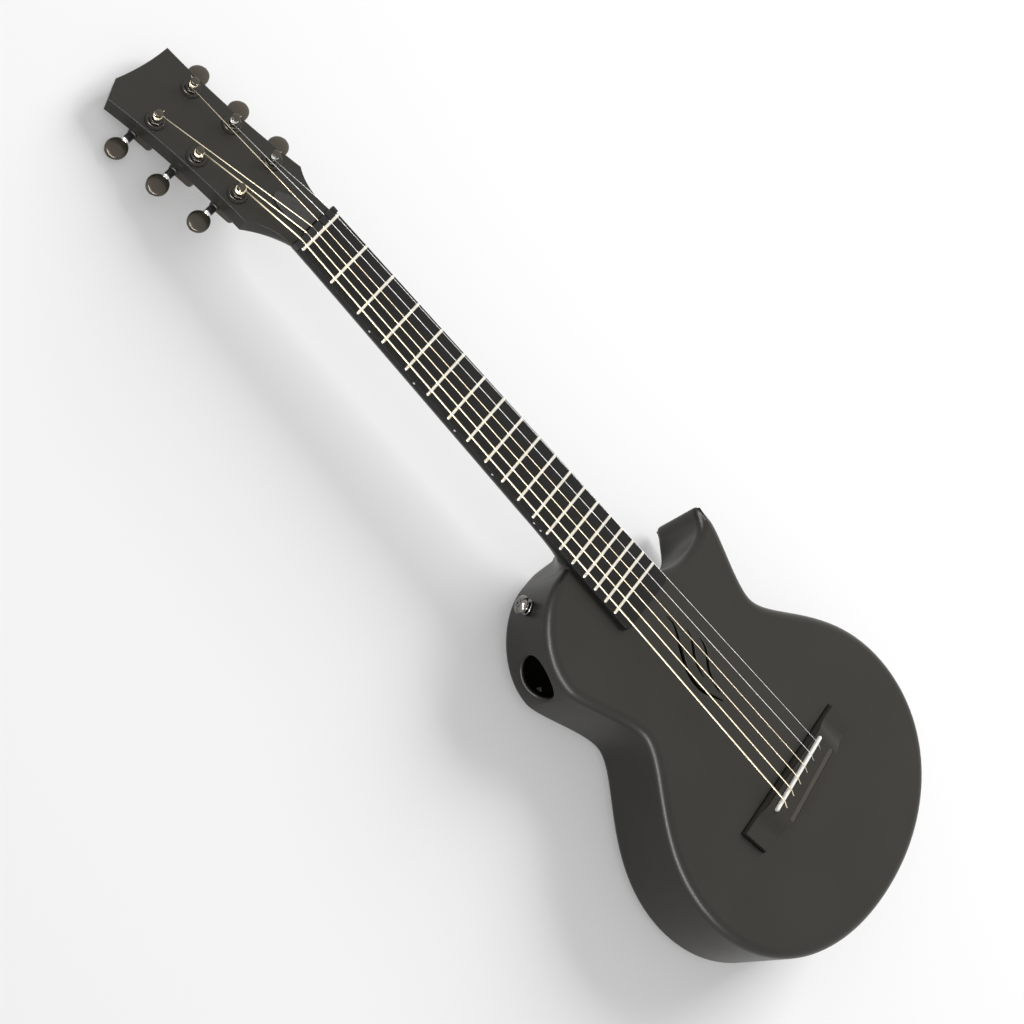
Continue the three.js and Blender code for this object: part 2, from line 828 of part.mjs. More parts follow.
function trussChannel() {
  const half = rodWidth / 2 + gap;
  return toSolid(block(
    vec3(-half, rodEndY - rodLength - gap, frontZ - rodHeight - 2 * gap),
    vec3(half, headStartY + overrun, frontZ + overrun),
  ));
}

function trussPocket() {
  const half = rodNutRadius + gap;
  return toSolid(block(
    vec3(-half, nutEndY - overrun, rodAxisZ - half),
    vec3(half, nutEndY + rodNutLength + keyRoom, frontZ + overrun),
  ));
}

function bodyShell() {
  let solid = bodyBlock().subtract(belowPlane(seamZ)).subtract(cavitySpace());
  solid = solid.add(neckSolid().subtract(crestCutter()));
  slotWidths.forEach((_, number) => {
    solid = solid.subtract(toSolid(slotCutter(number)));
  });
  tuners.forEach(({ x, v }) => {
    const bore = bar(collarRadius + gap, -headThickness - overrun, overrun, roundSteps);
    solid = solid.subtract(toSolid(bore.translate(x, v, 0).applyMatrix4(headMatrix)));
  });
  [toSolid(portCutter()), trussChannel(), trussPocket(), toSolid(strapScrewCutter(sideStrap)),
    toSolid(strapScrewCutter(tailStrap))].forEach((cutter) => {
    solid = solid.subtract(cutter);
  });
  return toGeometry(solid);
}

function backCover() {
  const lipRoom = wall + cavityRadius + lipThickness;
  const lipOuter = wall + gap;
  const lipInner = lipOuter + lipThickness;
  const lipTop = (y) => seamZ(y) + lipDepth;
  const floor = (y) => backZ(y) + wall;
  const lip = toSolid(skin([
    bodyRing(backWallShare, lipOuter, lipTop, lipRoom),
    bodyRing(backWallShare, lipOuter, floor, lipRoom),
  ]));
  const inside = toSolid(skin([
    bodyRing(backWallShare, lipInner, (y) => lipTop(y) + overrun, lipRoom),
    bodyRing(backWallShare, lipInner, floor, lipRoom),
  ]));
  const tray = bodyBlock().intersect(belowPlane((y) => seamZ(y) - gap));
  const aboveSeam = neckBlockBox(gap).subtract(belowPlane((y) => seamZ(y) - gap));
  return toGeometry(tray.add(lip).subtract(inside).subtract(aboveSeam));
}

// Fretboard, frets and nut

function boardGeometry() {
  const shape = new THREE.Shape();
  const r = boardCornerRadius;
  shape.moveTo(-boardHalfAtNut, boardStartY);
  shape.lineTo(-boardHalf(boardEndY + r), boardEndY + r);
  shape.quadraticCurveTo(-boardHalfAtEnd, boardEndY, -boardHalfAtEnd + r, boardEndY);
  shape.lineTo(boardHalfAtEnd - r, boardEndY);
  shape.quadraticCurveTo(boardHalfAtEnd, boardEndY, boardHalf(boardEndY + r), boardEndY + r);
  shape.lineTo(boardHalfAtNut, boardStartY);
  let solid = toSolid(slab(shape, boardBottomZ, boardTopZ));
  const slotHalf = fretTangWidth / 2 + gap;
  for (let n = 0; n <= fretCount; n += 1) {
    solid = solid.subtract(toSolid(block(
      vec3(-boardHalfAtEnd - overrun, fretY(n) - slotHalf, boardTopZ - fretTangDepth - gap),
      vec3(boardHalfAtEnd + overrun, fretY(n) + slotHalf, boardTopZ + overrun),
    )));
  }
  return toGeometry(solid);
}

// A fret lies along x, with its crown's foot at zero height.
function fretGeometry(n) {
  const half = (n === 0 ? zeroFretWidth : fretCrownWidth) / 2;
  const shape = new THREE.Shape();
  shape.moveTo(half, 0);
  shape.absellipse(0, 0, half, fretCrownHeight, 0, Math.PI);
  shape.lineTo(-fretTangWidth / 2, 0);
  shape.lineTo(-fretTangWidth / 2, -fretTangDepth - gap / 2);
  shape.lineTo(fretTangWidth / 2, -fretTangDepth - gap / 2);
  shape.lineTo(fretTangWidth / 2, 0);
  const halfLength = boardHalf(fretY(n)) - fretEndInset;
  const geometry = slab(shape, -halfLength, halfLength, edgeSteps + 1);
  return geometry.rotateZ(Math.PI / 2).rotateY(Math.PI / 2);
}

// Strings

function stringX(number, y) {
  const share = number / (stringNames.length - 1) - 0.5;
  const spread = THREE.MathUtils.lerp(spreadAtZeroFret, spreadAtSaddle, -y / scaleLength);
  return stringShift + share * spread;
}

function saddleY(x) {
  const share = (x + saddleBassX) / (saddleBassX + saddleTrebleX);
  return -scaleLength - THREE.MathUtils.lerp(saddleBassSetback, saddleTrebleSetback, share);
}

// The bridge's rear edge between its wings, from the bass side to the treble side.
function bellyPoints() {
  const wingY = bridgeFrontY - bridgeWingDepth;
  const rearY = bridgeFrontY - bridgeDepth;
  const [wingHandle, rearHandle] = bellyHandleShares.map((share) => share * bridgeBellyHalf);
  const bass = curve(vec2(-bridgeBellyHalf, wingY), vec2(-wingHandle, wingY),
    vec2(-rearHandle, rearY), vec2(0, rearY));
  const points = bass.getPoints(bellySteps);
  const mirrored = points.slice(0, -1).map(({ x, y }) => vec2(-x, y)).reverse();
  return [...points, ...mirrored];
}

function bellyY(x) {
  const points = bellyPoints();
  const next = points.findIndex((point) => point.x > x);
  const [before, after] = [points[next - 1], points[next]];
  return THREE.MathUtils.mapLinear(x, before.x, after.x, before.y, after.y);
}

const ballZ = boardBottomZ + ballBaseHeight;
const nutSlotZ = -nutSlotDrop;

// The stretch from the ball end to the nut, with a bend at the saddle and at the zero fret.
function stringSpan({ number, diameter }) {
  const radius = diameter / 2;
  const saddleX = stringX(number, -scaleLength);
  return {
    ball: vec3(saddleX, bellyY(saddleX) + ballInset, ballZ),
    saddle: vec3(saddleX, saddleY(saddleX), saddleTopZ + gap + radius),
    zeroFret: vec3(stringX(number, 0), 0, gap + radius),
    nut: vec3(stringX(number, nutEndY), nutEndY, nutSlotZ + gap + radius),
  };
}

// The winding on the post, in the tuner's frame: x outwards, y to the head's tip, z up the post.
function stringWinding(tuner, nutLocal) {
  const radius = tuner.diameter / 2;
  const coilRadius = postWaistRadius + gap + radius;
  const pitch = tuner.diameter + turnSpacing;
  const bend = radius + stringBend;
  const planDistance = Math.hypot(nutLocal.x, nutLocal.y);
  const startAngle = Math.atan2(nutLocal.y, nutLocal.x) - Math.acos(coilRadius / planDistance);
  const bendAngle = Math.atan2(bend, coilRadius);
  const endRadius = Math.hypot(coilRadius, bend);
  const steps = Math.round(stepsPerTurn * tuner.turns);
  const climbTurns = tuner.turns - 0.5;
  const startHeight = postHoleHeight - pitch * (climbTurns + 1);
  const points = [];
  for (let step = 0; step <= steps; step += 1) {
    const turn = tuner.turns * step / steps;
    const angle = startAngle - 2 * Math.PI * turn;
    const late = Math.max(0, turn - climbTurns) * 2;
    const around = THREE.MathUtils.lerp(coilRadius, endRadius, late ** 2);
    const height = startHeight + pitch * (Math.min(turn, climbTurns) + late);
    points.push(vec3(around * Math.cos(angle), around * Math.sin(angle), height));
  }
  const holeAngle = startAngle - 2 * Math.PI * tuner.turns - bendAngle;
  const outward = vec3(Math.cos(holeAngle), Math.sin(holeAngle), 0);
  const forward = vec3(Math.sin(holeAngle), -Math.cos(holeAngle), 0);
  for (let step = 1; step <= edgeSteps; step += 1) {
    const angle = Math.PI / 2 * step / edgeSteps;
    points.push(vec3(0, 0, postHoleHeight)
      .addScaledVector(outward, coilRadius - bend * (1 - Math.cos(angle)))
      .addScaledVector(forward, -bend * (1 - Math.sin(angle))));
  }
  points.push(vec3(0, 0, postHoleHeight).addScaledVector(outward, -postRadius - stringTail));
  return { points, holeAngle, coilRadius };
}

// The least room between stretches of one string that aren't neighbours along it.
function leastGap(points, diameter) {
  const travelled = [0];
  points.slice(1).forEach((point, i) => travelled.push(travelled[i] + point.distanceTo(points[i])));
  const apart = diameter * Math.PI;
  let least = Infinity;
  points.forEach((point, i) => {
    points.slice(0, i).forEach((other, k) => {
      if (travelled[i] - travelled[k] > apart) {
        least = Math.min(least, point.distanceTo(other) - diameter);
      }
    });
  });
  return least;
}

tuners.forEach((tuner) => {
  const span = stringSpan(tuner);
  const toHead = headMatrix.clone().invert();
  const nutHead = span.nut.clone().applyMatrix4(toHead);
  const nutLocal = vec3((nutHead.x - tuner.x) * tuner.hand, nutHead.y - tuner.v, nutHead.z);
  const winding = stringWinding(tuner, nutLocal);
  const wound = winding.points.map((point) => vec3(
    tuner.x + point.x * tuner.hand, tuner.v + point.y, point.z,
  ).applyMatrix4(headMatrix));
  const route = [span.ball, span.saddle, span.zeroFret, span.nut, ...wound];
  tuner.holeAngle = winding.holeAngle;
  tuner.route = route;
  console.log(`string ${tuner.name}: least gap to itself ${leastGap(wound, tuner.diameter).toFixed(2)} mm`);
});

function stringGeometry({ route, diameter }) {
  const ball = placeAlong(bar(ballRadius, -ballLength / 2, ballLength / 2, smallRoundSteps),
    route[0], vec3(1, 0, 0));
  return toGeometry(toSolid(tube(route, diameter / 2, stringSides)).add(toSolid(ball)));
}

// Nut with a slot for each string

function nutGeometry() {
  const half = boardHalf(nutStartY);
  const profile = new THREE.Shape();
  const high = nutRise;
  profile.moveTo(nutStartY, boardBottomZ);
  profile.lineTo(nutEndY, boardBottomZ);
  profile.lineTo(nutEndY, high - nutRound);
  profile.quadraticCurveTo(nutEndY, high, nutEndY - nutRound, high);
  profile.lineTo(nutStartY, high);
  const lying = new THREE.Matrix4().makeBasis(vec3(0, 1, 0), vec3(0, 0, 1), vec3(1, 0, 0));
  let solid = toSolid(slab(profile, -half, half).applyMatrix4(lying));
  tuners.forEach(({ number, diameter }) => {
    const from = vec2(stringX(number, 0), nutStartY);
    const to = vec2(stringX(number, nutEndY), nutEndY);
    const slot = plank(from, to, diameter + 2 * gap, nutSlotZ, high + overrun, overrun);
    solid = solid.subtract(toSolid(slot));
  });
  return toGeometry(solid);
}

// Bridge and saddle

function saddleLine(past) {
  const bass = vec2(-saddleBassX, saddleY(-saddleBassX));
  const treble = vec2(saddleTrebleX, saddleY(saddleTrebleX));
  const way = treble.clone().sub(bass).normalize();
  return [bass.addScaledVector(way, -past), treble.addScaledVector(way, past)];
}

function bridgeGeometry() {
  const base = boardBottomZ;
  const wingZ = base + bridgeWingThickness;
  const rearY = bridgeFrontY - bridgeDepth;
  const wingY = bridgeFrontY - bridgeWingDepth;
  const rise = new THREE.Shape([
    vec2(-bridgeBassX, base), vec2(bridgeTrebleX, base), vec2(bridgeTrebleX, wingZ),
    vec2(bridgeRampFoot, wingZ), vec2(bridgeRampHead, bridgeTopZ),
    vec2(-bridgeRampHead, bridgeTopZ), vec2(-bridgeRampFoot, wingZ), vec2(-bridgeBassX, wingZ),
  ]);
  const standing = new THREE.Matrix4().makeBasis(vec3(1, 0, 0), vec3(0, 0, 1), vec3(0, -1, 0));
  const risen = slab(rise, -bridgeFrontY, -rearY + overrun).applyMatrix4(standing);
  const plan = new THREE.Shape([
    vec2(-bridgeBassX, bridgeFrontY), vec2(-bridgeBassX + bridgeEndInset, wingY),
    ...bellyPoints(),
    vec2(bridgeTrebleX - bridgeEndInset, wingY), vec2(bridgeTrebleX, bridgeFrontY),
  ]);
  let solid = toSolid(risen).intersect(
    toSolid(slab(plan, base - overrun, bridgeTopZ + overrun)),
  );
  const lean = bridgeFrontSlant / bridgeThickness;
  const frontRing = (x) => [
    vec3(x, bridgeFrontY, base), vec3(x, bridgeFrontY + overrun, base - overrun),
    vec3(x, bridgeFrontY + overrun, bridgeTopZ + overrun),
    vec3(x, bridgeFrontY - bridgeFrontSlant - lean * overrun, bridgeTopZ + overrun),
  ];
  const frontCut = skin([frontRing(-bridgeBassX - overrun), frontRing(bridgeTrebleX + overrun)]);
  solid = solid.subtract(toSolid(frontCut));
  const [seatStart, seatEnd] = saddleLine(gap);
  const seatFloor = bridgeTopZ - saddleSeatDepth - gap;
  solid = solid.subtract(toSolid(plank(seatStart, seatEnd, saddleThickness + 2 * gap,
    seatFloor, bridgeTopZ + overrun, 0)));
  const groove = plank(
    vec2(-grooveBassX, -scaleLength - grooveBassSetback),
    vec2(grooveTrebleX, -scaleLength - grooveTrebleSetback),
    grooveWidth, bridgeTopZ - grooveDepth, bridgeTopZ + overrun, 0,
  );
  solid = solid.subtract(toSolid(groove));
  tuners.forEach((tuner) => {
    const { ball, saddle } = stringSpan(tuner);
    const way = saddle.clone().sub(ball);
    const clear = tuner.diameter / 2 + gap;
    const hole = placeAlong(bar(clear, 0, way.length(), smallRoundSteps), ball, way);
    const room = Math.hypot(ballRadius, ballLength / 2) + gap;
    const seat = placeAlong(bar(room, -ballInset - overrun, ballRadius + gap, smallRoundSteps),
      ball, way);
    solid = solid.subtract(toSolid(hole)).subtract(toSolid(seat));
  });
  return toGeometry(solid);
}

function saddleGeometry() {
  const [start, end] = saddleLine(0);
  const length = start.distanceTo(end);
  const bottom = bridgeTopZ - saddleSeatDepth;
  const profile = new THREE.Shape();
  const half = saddleThickness / 2;
  profile.moveTo(-half, bottom);
  profile.lineTo(half, bottom);
  profile.lineTo(half, saddleTopZ - half);
  profile.absellipse(0, saddleTopZ - half, half, half, 0, Math.PI);
  const lying = new THREE.Matrix4().makeBasis(vec3(0, -1, 0), vec3(0, 0, 1), vec3(-1, 0, 0));
  const slope = Math.atan2(end.y - start.y, end.x - start.x);
  return slab(profile, -length / 2, length / 2, edgeSteps * 2).applyMatrix4(lying)
    .rotateZ(slope).translate((start.x + end.x) / 2, (start.y + end.y) / 2, 0);
}

// Truss rod, adjusting nut and cover

function rodGeometry() {
  const half = rodWidth / 2;
  const top = frontZ - gap;
  const rod = toSolid(block(
    vec3(-half, rodEndY - rodLength, top - rodHeight), vec3(half, rodEndY, top),
  ));
  const thread = placeAlong(bar(rodThreadRadius, -overrun, rodThreadLength, smallRoundSteps),
    vec3(0, rodEndY, rodAxisZ), vec3(0, 1, 0));
  return toGeometry(rod.add(toSolid(thread)));
}

// The nut is turned about its own axis, from its sleeve end to its socket end.
function rodNutGeometry() {
  const bore = rodThreadRadius + gap;
  const sleeve = toSolid(turned([
    [bore, 0], [rodNutRadius, 0], [rodNutRadius, rodNutLength], [0, rodNutLength],
    [0, rodNutBore], [bore, rodNutBore], [bore, 0],
  ], smallRoundSteps));
  const corner = rodNutSocketAcross / 2 / Math.cos(Math.PI / 6);
  const socket = bar(corner, rodNutLength - rodNutSocket, rodNutLength + overrun, 6);
  return toGeometry(sleeve.subtract(toSolid(socket)));
}

function rodCoverGeometry() {
  const shape = new THREE.Shape();
  const end = coverStartV + coverLength;
  const side = coverHalfWidth;
  shape.moveTo(coverShift - side, coverStartV);
  shape.lineTo(coverShift + side, coverStartV);
  shape.lineTo(coverShift + side, coverShoulderV);
  shape.quadraticCurveTo(coverShift + side, end - side, coverShift + coverTipRadius, end - gap);
  shape.quadraticCurveTo(coverShift, end, coverShift - coverTipRadius, end - gap);
  shape.quadraticCurveTo(coverShift - side, end - side, coverShift - side, coverShoulderV);
  shape.lineTo(coverShift - side, coverStartV);
  return slab(shape, gap, gap + coverThickness, edgeSteps * 2);
}

// Strap button, turned about its screw

function strapButtonGeometry() {
  const neckEnd = strapLength - strapHeadThickness;
  return turned([
    [0, -strapScrewLength], [strapScrewRadius, -strapScrewLength], [strapScrewRadius, 0],
    [strapFlangeRadius, 0], [strapFlangeRadius, strapFlangeThickness / 2],
    [strapWaistRadius, strapFlangeThickness], [strapWaistRadius, neckEnd],
    [strapHeadRadius, neckEnd + strapHeadThickness / 3],
    [strapHeadRadius, strapLength - strapHeadThickness / 3],
    [strapHeadRadius - strapHeadThickness / 3, strapLength],
    [strapRecessRadius, strapLength], [strapRecessRadius, strapLength - strapRecessDepth],
    [0, strapLength - strapRecessDepth],
  ]);
}

// Tuner pieces, in the tuner's frame with the head's face at zero height

const circularPitch = 2 * Math.PI * wheelPitchRadius / wheelTeeth;
const flankLean = Math.tan(THREE.MathUtils.degToRad(pressureAngleDegrees));
const toothHalf = (circularPitch - backlash) / 4;
const toothTipHalf = toothHalf - toothAddendum * flankLean;
const toothRootHalf = toothHalf + toothDedendum * flankLean;
const wormY = wheelPitchRadius + wormPitchRadius;
const wormTipRadius = wormPitchRadius + toothAddendum;
const wheelTipRadius = wheelPitchRadius + toothAddendum;
const wormHalfLength = circularPitch * wormPitchCount / 2;
const wheelTopZ = -wormDepth + wheelWidth / 2;
const wheelBottomZ = -wormDepth - wheelWidth / 2;
const bushingTopZ = gap + washerThickness + hexHeight;

function bushingGeometry() {
  const seat = toSolid(turned([
    [0, -collarLength], [collarRadius, -collarLength], [collarRadius, gap], [washerRadius, gap],
    [washerRadius, gap + washerThickness], [0, gap + washerThickness],
  ]));
  const hexCorner = hexAcrossFlats / 2 / Math.cos(Math.PI / 6);
  const hex = toSolid(bar(hexCorner, gap, bushingTopZ, 6));
  const bore = bar(postRadius + gap, -collarLength - overrun, bushingTopZ + overrun,
    smallRoundSteps);
  return toGeometry(seat.add(hex).subtract(toSolid(bore)));
}

// The wheel's teeth lean with the worm's thread; one tooth points straight at the worm.
function wheelGeometry() {
  const lead = Math.atan2(circularPitch, 2 * Math.PI * wormPitchRadius);
  const twist = Math.tan(lead) / wheelPitchRadius * wheelWidth;
  const ring = (z, turn) => {
    const points = [];
    for (let tooth = 0; tooth < wheelTeeth; tooth += 1) {
      const middle = Math.PI / 2 + 2 * Math.PI * tooth / wheelTeeth + turn;
      const flank = (radius, half) => vec3(
        radius * Math.cos(middle + half / radius), radius * Math.sin(middle + half / radius), z,
      );
      const root = wheelPitchRadius - toothDedendum;
      points.push(flank(root, -toothRootHalf), flank(wheelTipRadius, -toothTipHalf),
        flank(wheelTipRadius, toothTipHalf), flank(root, toothRootHalf));
    }
    return points;
  };
  return skin([ring(wheelBottomZ, -twist / 2), ring(wheelTopZ, twist / 2)]);
}

function postGeometry(holeAngle) {
  const neckZ = bushingTopZ + gap;
  const capZ = postRise - postCapHeight;
  const shaft = toSolid(turned([
    [0, wheelBottomZ - gap], [postRadius, wheelBottomZ - gap], [postRadius, neckZ],
    [postWaistRadius, neckZ + postRadius - postWaistRadius], [postWaistRadius, capZ],
    [postCapRadius, capZ + gap], [postCapRadius, postRise - gap], [postWaistRadius, postRise],
    [0, postRise],
  ], smallRoundSteps));
  const holeRadius = Math.max(...stringDiameters) / 2 + gap;
  const hole = placeAlong(bar(holeRadius, -postRadius - overrun, postRadius + overrun,
    smallRoundSteps), vec3(0, 0, postHoleHeight), vec3(Math.cos(holeAngle), Math.sin(holeAngle), 0));
  return shaft.add(toSolid(wheelGeometry())).subtract(toSolid(hole));
}

// A worm about z: a round core with one thread wound on it, cut off square at both ends.
function wormSolid() {
  const root = wormPitchRadius - toothDedendum;
  const base = root - toothDedendum;
  const reach = wormHalfLength + circularPitch;
  const steps = Math.ceil(2 * reach / circularPitch) * wormSteps;
  const rings = [];
  for (let step = 0; step <= steps; step += 1) {
    const turn = (step - steps / 2) / wormSteps;
    const angle = 2 * Math.PI * (turn + threadStartTurn);
    const along = circularPitch * turn;
    const corner = (radius, half) => vec3(
      radius * Math.cos(angle), radius * Math.sin(angle), along + half,
    );
    rings.push([
      corner(base, -toothRootHalf), corner(root, -toothRootHalf), corner(wormTipRadius, -toothTipHalf),
      corner(wormTipRadius, toothTipHalf), corner(root, toothRootHalf), corner(base, toothRootHalf),
    ]);
  }
  const core = toSolid(bar(root, -reach, reach, wormSteps));
  const length = toSolid(bar(wormTipRadius + overrun, -wormHalfLength, wormHalfLength, wormSteps));
  return core.add(toSolid(skin(rings))).intersect(length);
}

// An oval knob with two domed faces, lying flat along its shaft, which is the x axis.
function gripSolid() {
  const radius = knobWidth / 2;
  const rim = knobRimThickness / 2;
  const rise = knobThickness / 2 - rim;
  const dome = (share) => [radius * Math.sin(share * Math.PI / 2), rise * Math.cos(share * Math.PI / 2)];
  const upper = [];
  for (let step = 0; step <= domeSteps; step += 1) {
    const [around, height] = dome(step / domeSteps);
    upper.push([around, rim + height]);
  }
  const lower = upper.map(([around, height]) => [around, -height]).reverse();
  const grip = turned([...upper, ...lower], knobSteps).scale(knobLength / knobWidth, 1, 1);
  return toSolid(grip.translate(knobMiddle, 0, 0));
}

// Knob, hub, shaft and worm in one piece, about its own axis, from the worm's middle outwards.
function buttonGeometry() {
  const hubStart = sleeveEnd + gap;
  const hubEnd = hubStart + knobHubLength;
  const bearingEnd = -wormHalfLength - bearingDepth;
  const shaft = toSolid(turned([
    [0, bearingEnd], [shaftRadius, bearingEnd], [shaftRadius, hubStart],
    [knobHubRadius, hubStart], [knobHubRadius, hubEnd], [0, hubEnd + overrun],
  ], smallRoundSteps));
  return toGeometry(shaft.add(wormSolid()).rotate([0, 90, 0]).add(gripSolid()));
}

// A rectangle with round corners, in plan, drawn in by an inset.
function roundedRing(low, high, radius, inset, z) {
  const corners = [[high.x, high.y], [low.x, high.y], [low.x, low.y], [high.x, low.y]];
  const middle = low.clone().add(high).multiplyScalar(0.5);
  return corners.flatMap(([x, y], quarter) => {
    const centre = vec2(x - Math.sign(x - middle.x) * radius, y - Math.sign(y - middle.y) * radius);
    const points = [];
    for (let step = 0; step <= edgeSteps; step += 1) {
      const angle = Math.PI / 2 * (quarter + step / edgeSteps);
      points.push(vec3(centre.x + (radius - inset) * Math.cos(angle),
        centre.y + (radius - inset) * Math.sin(angle), z));
    }
    return points;
  });
}

const wheelRoom = wheelTipRadius + runningGap;
const wormRoom = wormTipRadius + runningGap;
const bearingX = wormHalfLength + bearingDepth + gap;
const housingHalf = Math.max(wheelRoom, bearingX) + housingWall;
const housingLow = vec2(-housingHalf, -wheelRoom - housingWall);
const housingHigh = vec2(housingHalf, wormY + wormRoom + housingWall);
const housingBottomZ = -wormDepth - wormRoom - housingWall;

// The housing is open towards the head, where the wheel and the worm go in.
function housingGeometry() {
  const topZ = -headThickness - gap;
  const edgeZ = housingBottomZ + housingEdge;
  const outer = toSolid(skin([
    roundedRing(housingLow, housingHigh, housingRound, 0, topZ),
    roundedRing(housingLow, housingHigh, housingRound, 0, edgeZ),
    roundedRing(housingLow, housingHigh, housingRound, housingEdge, housingBottomZ),
  ]));
  const axisStart = vec3(0, wormY, -wormDepth);
  const outwards = vec3(1, 0, 0);
  const sleeve = toSolid(placeAlong(bar(sleeveRadius, housingHalf - overrun, sleeveEnd),
    axisStart, outwards));
  const wheelSpace = toSolid(bar(wheelRoom, wheelBottomZ - 2 * gap, topZ + overrun));
  const wormSpace = toSolid(block(
    vec3(-wormHalfLength - runningGap, 0, housingBottomZ + housingWall),
    vec3(wormHalfLength + runningGap, wormY + wormRoom, topZ + overrun),
  ));
  const shaftSpace = toSolid(placeAlong(bar(shaftRadius + gap, -bearingX, sleeveEnd + overrun),
    axisStart, outwards));
  return toGeometry(outer.add(sleeve).subtract(wheelSpace).subtract(wormSpace).subtract(shaftSpace));
}

// Finishes

function finish(color, roughness, metalness) {
  return new THREE.MeshStandardMaterial({ color, roughness, metalness });
}

const finishes = {
  mouldedBody: () => finish(0x42403c, 0.6, 0),
  backCover: () => finish(0x3c3a37, 0.62, 0),
  fretboard: () => finish(0x2c2a28, 0.55, 0),
  blackNut: () => finish(0x151515, 0.45, 0),
  bridge: () => finish(0x232221, 0.5, 0),
  saddle: () => finish(0xf2efe6, 0.4, 0),
  fretWire: () => finish(0xd9d3c4, 0.25, 1),
  woundString: () => finish(0xb08d57, 0.35, 1),
  plainString: () => finish(0xd4d4d2, 0.2, 1),
  blackChrome: () => finish(0x2b2b2d, 0.25, 1),
  rodSteel: () => finish(0x8d8f92, 0.35, 1),
  coverPlastic: () => finish(0x1b1b1b, 0.35, 0),
  brightSteel: () => finish(0xc9c9c7, 0.2, 1),
};

function piece(name, geometry, material) {
  const mesh = new THREE.Mesh(weld(geometry), material);
  mesh.name = name;
  return mesh;
}

// Assembly

const playing = new THREE.Group();

const shell = piece('body_shell', bodyShell(), finishes.mouldedBody());
const cover = piece('back_cover', backCover(), finishes.backCover());
const board = piece('fretboard', boardGeometry(), finishes.fretboard());
const nut = piece('nut', nutGeometry(), finishes.blackNut());
const bridge = piece('bridge', bridgeGeometry(), finishes.bridge());
const saddle = piece('saddle', saddleGeometry(), finishes.saddle());
const rod = piece('truss_rod', rodGeometry(), finishes.rodSteel());
playing.add(shell, cover, board, nut, bridge, saddle, rod);

const rodNut = piece('truss_rod_nut', rodNutGeometry(), finishes.rodSteel());
rodNut.position.set(0, rodEndY + rodNutBore, rodAxisZ);
rodNut.rotation.x = -Math.PI / 2;
playing.add(rodNut);

for (let n = 0; n <= fretCount; n += 1) {
  const fret = piece(`fret_${String(n).padStart(2, '0')}`, fretGeometry(n), finishes.fretWire());
  fret.position.set(0, fretY(n), boardTopZ + gap);
  playing.add(fret);
}

tuners.forEach((tuner) => {
  const isPlain = tuner.number >= stringNames.length - plainStringCount;
  const material = isPlain ? finishes.plainString() : finishes.woundString();
  playing.add(piece(`string_${tuner.name}`, stringGeometry(tuner), material));
});

[['strap_button_side', sideStrap], ['strap_button_tail', tailStrap]].forEach(([name, frame]) => {
  const button = piece(name, strapButtonGeometry(), finishes.brightSteel());
  button.position.copy(frame.point).addScaledVector(frame.outward, 2 * gap);
  button.quaternion.copy(turnZTo(frame.outward));
  playing.add(button);
});

const head = new THREE.Group();
head.position.set(0, headStartY, headStartZ);
head.rotation.x = -headTilt;
head.add(piece('truss_rod_cover', rodCoverGeometry(), finishes.coverPlastic()));

const bushing = bushingGeometry();
const housing = housingGeometry();
const button = buttonGeometry();
tuners.forEach(({ name, hand, x, v, holeAngle }) => {
  const group = new THREE.Group();
  group.position.set(x, v, 0);
  const add = (part, geometry) => {
    const handed = geometry.clone().scale(hand, 1, 1);
    const mesh = piece(`${name}_tuner_${part}`, handed, finishes.blackChrome());
    group.add(mesh);
    return mesh;
  };
  add('housing', housing);
  add('bushing', bushing);
  add('post', toGeometry(postGeometry(holeAngle)));
  add('button', button).position.set(0, wormY, -wormDepth);
  head.add(group);
});
playing.add(head);

// The guitar lies on the tail's back edge and on the two tuner housings nearest the head's tip.
const tailFoot = vec2(tailY + edgeRadius, backZ(tailY) + edgeRadius);
const lastPostV = firstPostV + postSpacing * (stringNames.length / 2 - 1);
const lastHousing = vec3(0, lastPostV + housingHigh.y - housingEdge, housingBottomZ)
  .applyMatrix4(headMatrix);
const housingFoot = vec2(lastHousing.y, lastHousing.z);
const footSpan = housingFoot.clone().sub(tailFoot);
const restTilt = -Math.asin(edgeRadius / footSpan.length()) - Math.atan2(footSpan.y, footSpan.x);
playing.rotation.x = restTilt;

const guitar = new THREE.Group();
guitar.add(playing);
guitar.updateMatrixWorld(true);
const bounds = new THREE.Box3().setFromObject(guitar, true);
const middle = bounds.getCenter(vec3(0, 0, 0));
playing.position.set(-middle.x, -middle.y, -bounds.min.z);

export default guitar;
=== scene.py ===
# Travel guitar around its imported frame: fine pieces, finishes, floor, lamps and camera.
# Shapes are drawn in millimetres in the playing frame: x across with the cutaway side positive,
# y along the strings towards the head with zero at the zero fret, z out of the front with zero
# at the fret tops. The head frame starts at the nut and leans back with the headstock.
import math

import bmesh
import bpy
import numpy as np
from mathutils import Matrix, Vector


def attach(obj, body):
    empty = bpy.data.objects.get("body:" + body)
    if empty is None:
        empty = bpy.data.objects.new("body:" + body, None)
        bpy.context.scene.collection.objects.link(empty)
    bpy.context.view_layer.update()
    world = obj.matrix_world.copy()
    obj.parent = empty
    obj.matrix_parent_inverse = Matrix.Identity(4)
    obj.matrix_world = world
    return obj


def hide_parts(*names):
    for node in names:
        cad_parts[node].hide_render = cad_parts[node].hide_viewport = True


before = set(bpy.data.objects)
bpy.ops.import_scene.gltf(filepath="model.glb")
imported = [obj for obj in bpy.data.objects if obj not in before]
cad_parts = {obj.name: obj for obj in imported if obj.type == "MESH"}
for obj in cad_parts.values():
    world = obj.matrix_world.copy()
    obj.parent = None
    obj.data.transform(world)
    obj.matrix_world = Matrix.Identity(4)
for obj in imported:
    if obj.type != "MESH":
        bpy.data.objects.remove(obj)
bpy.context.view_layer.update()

MM = 0.001

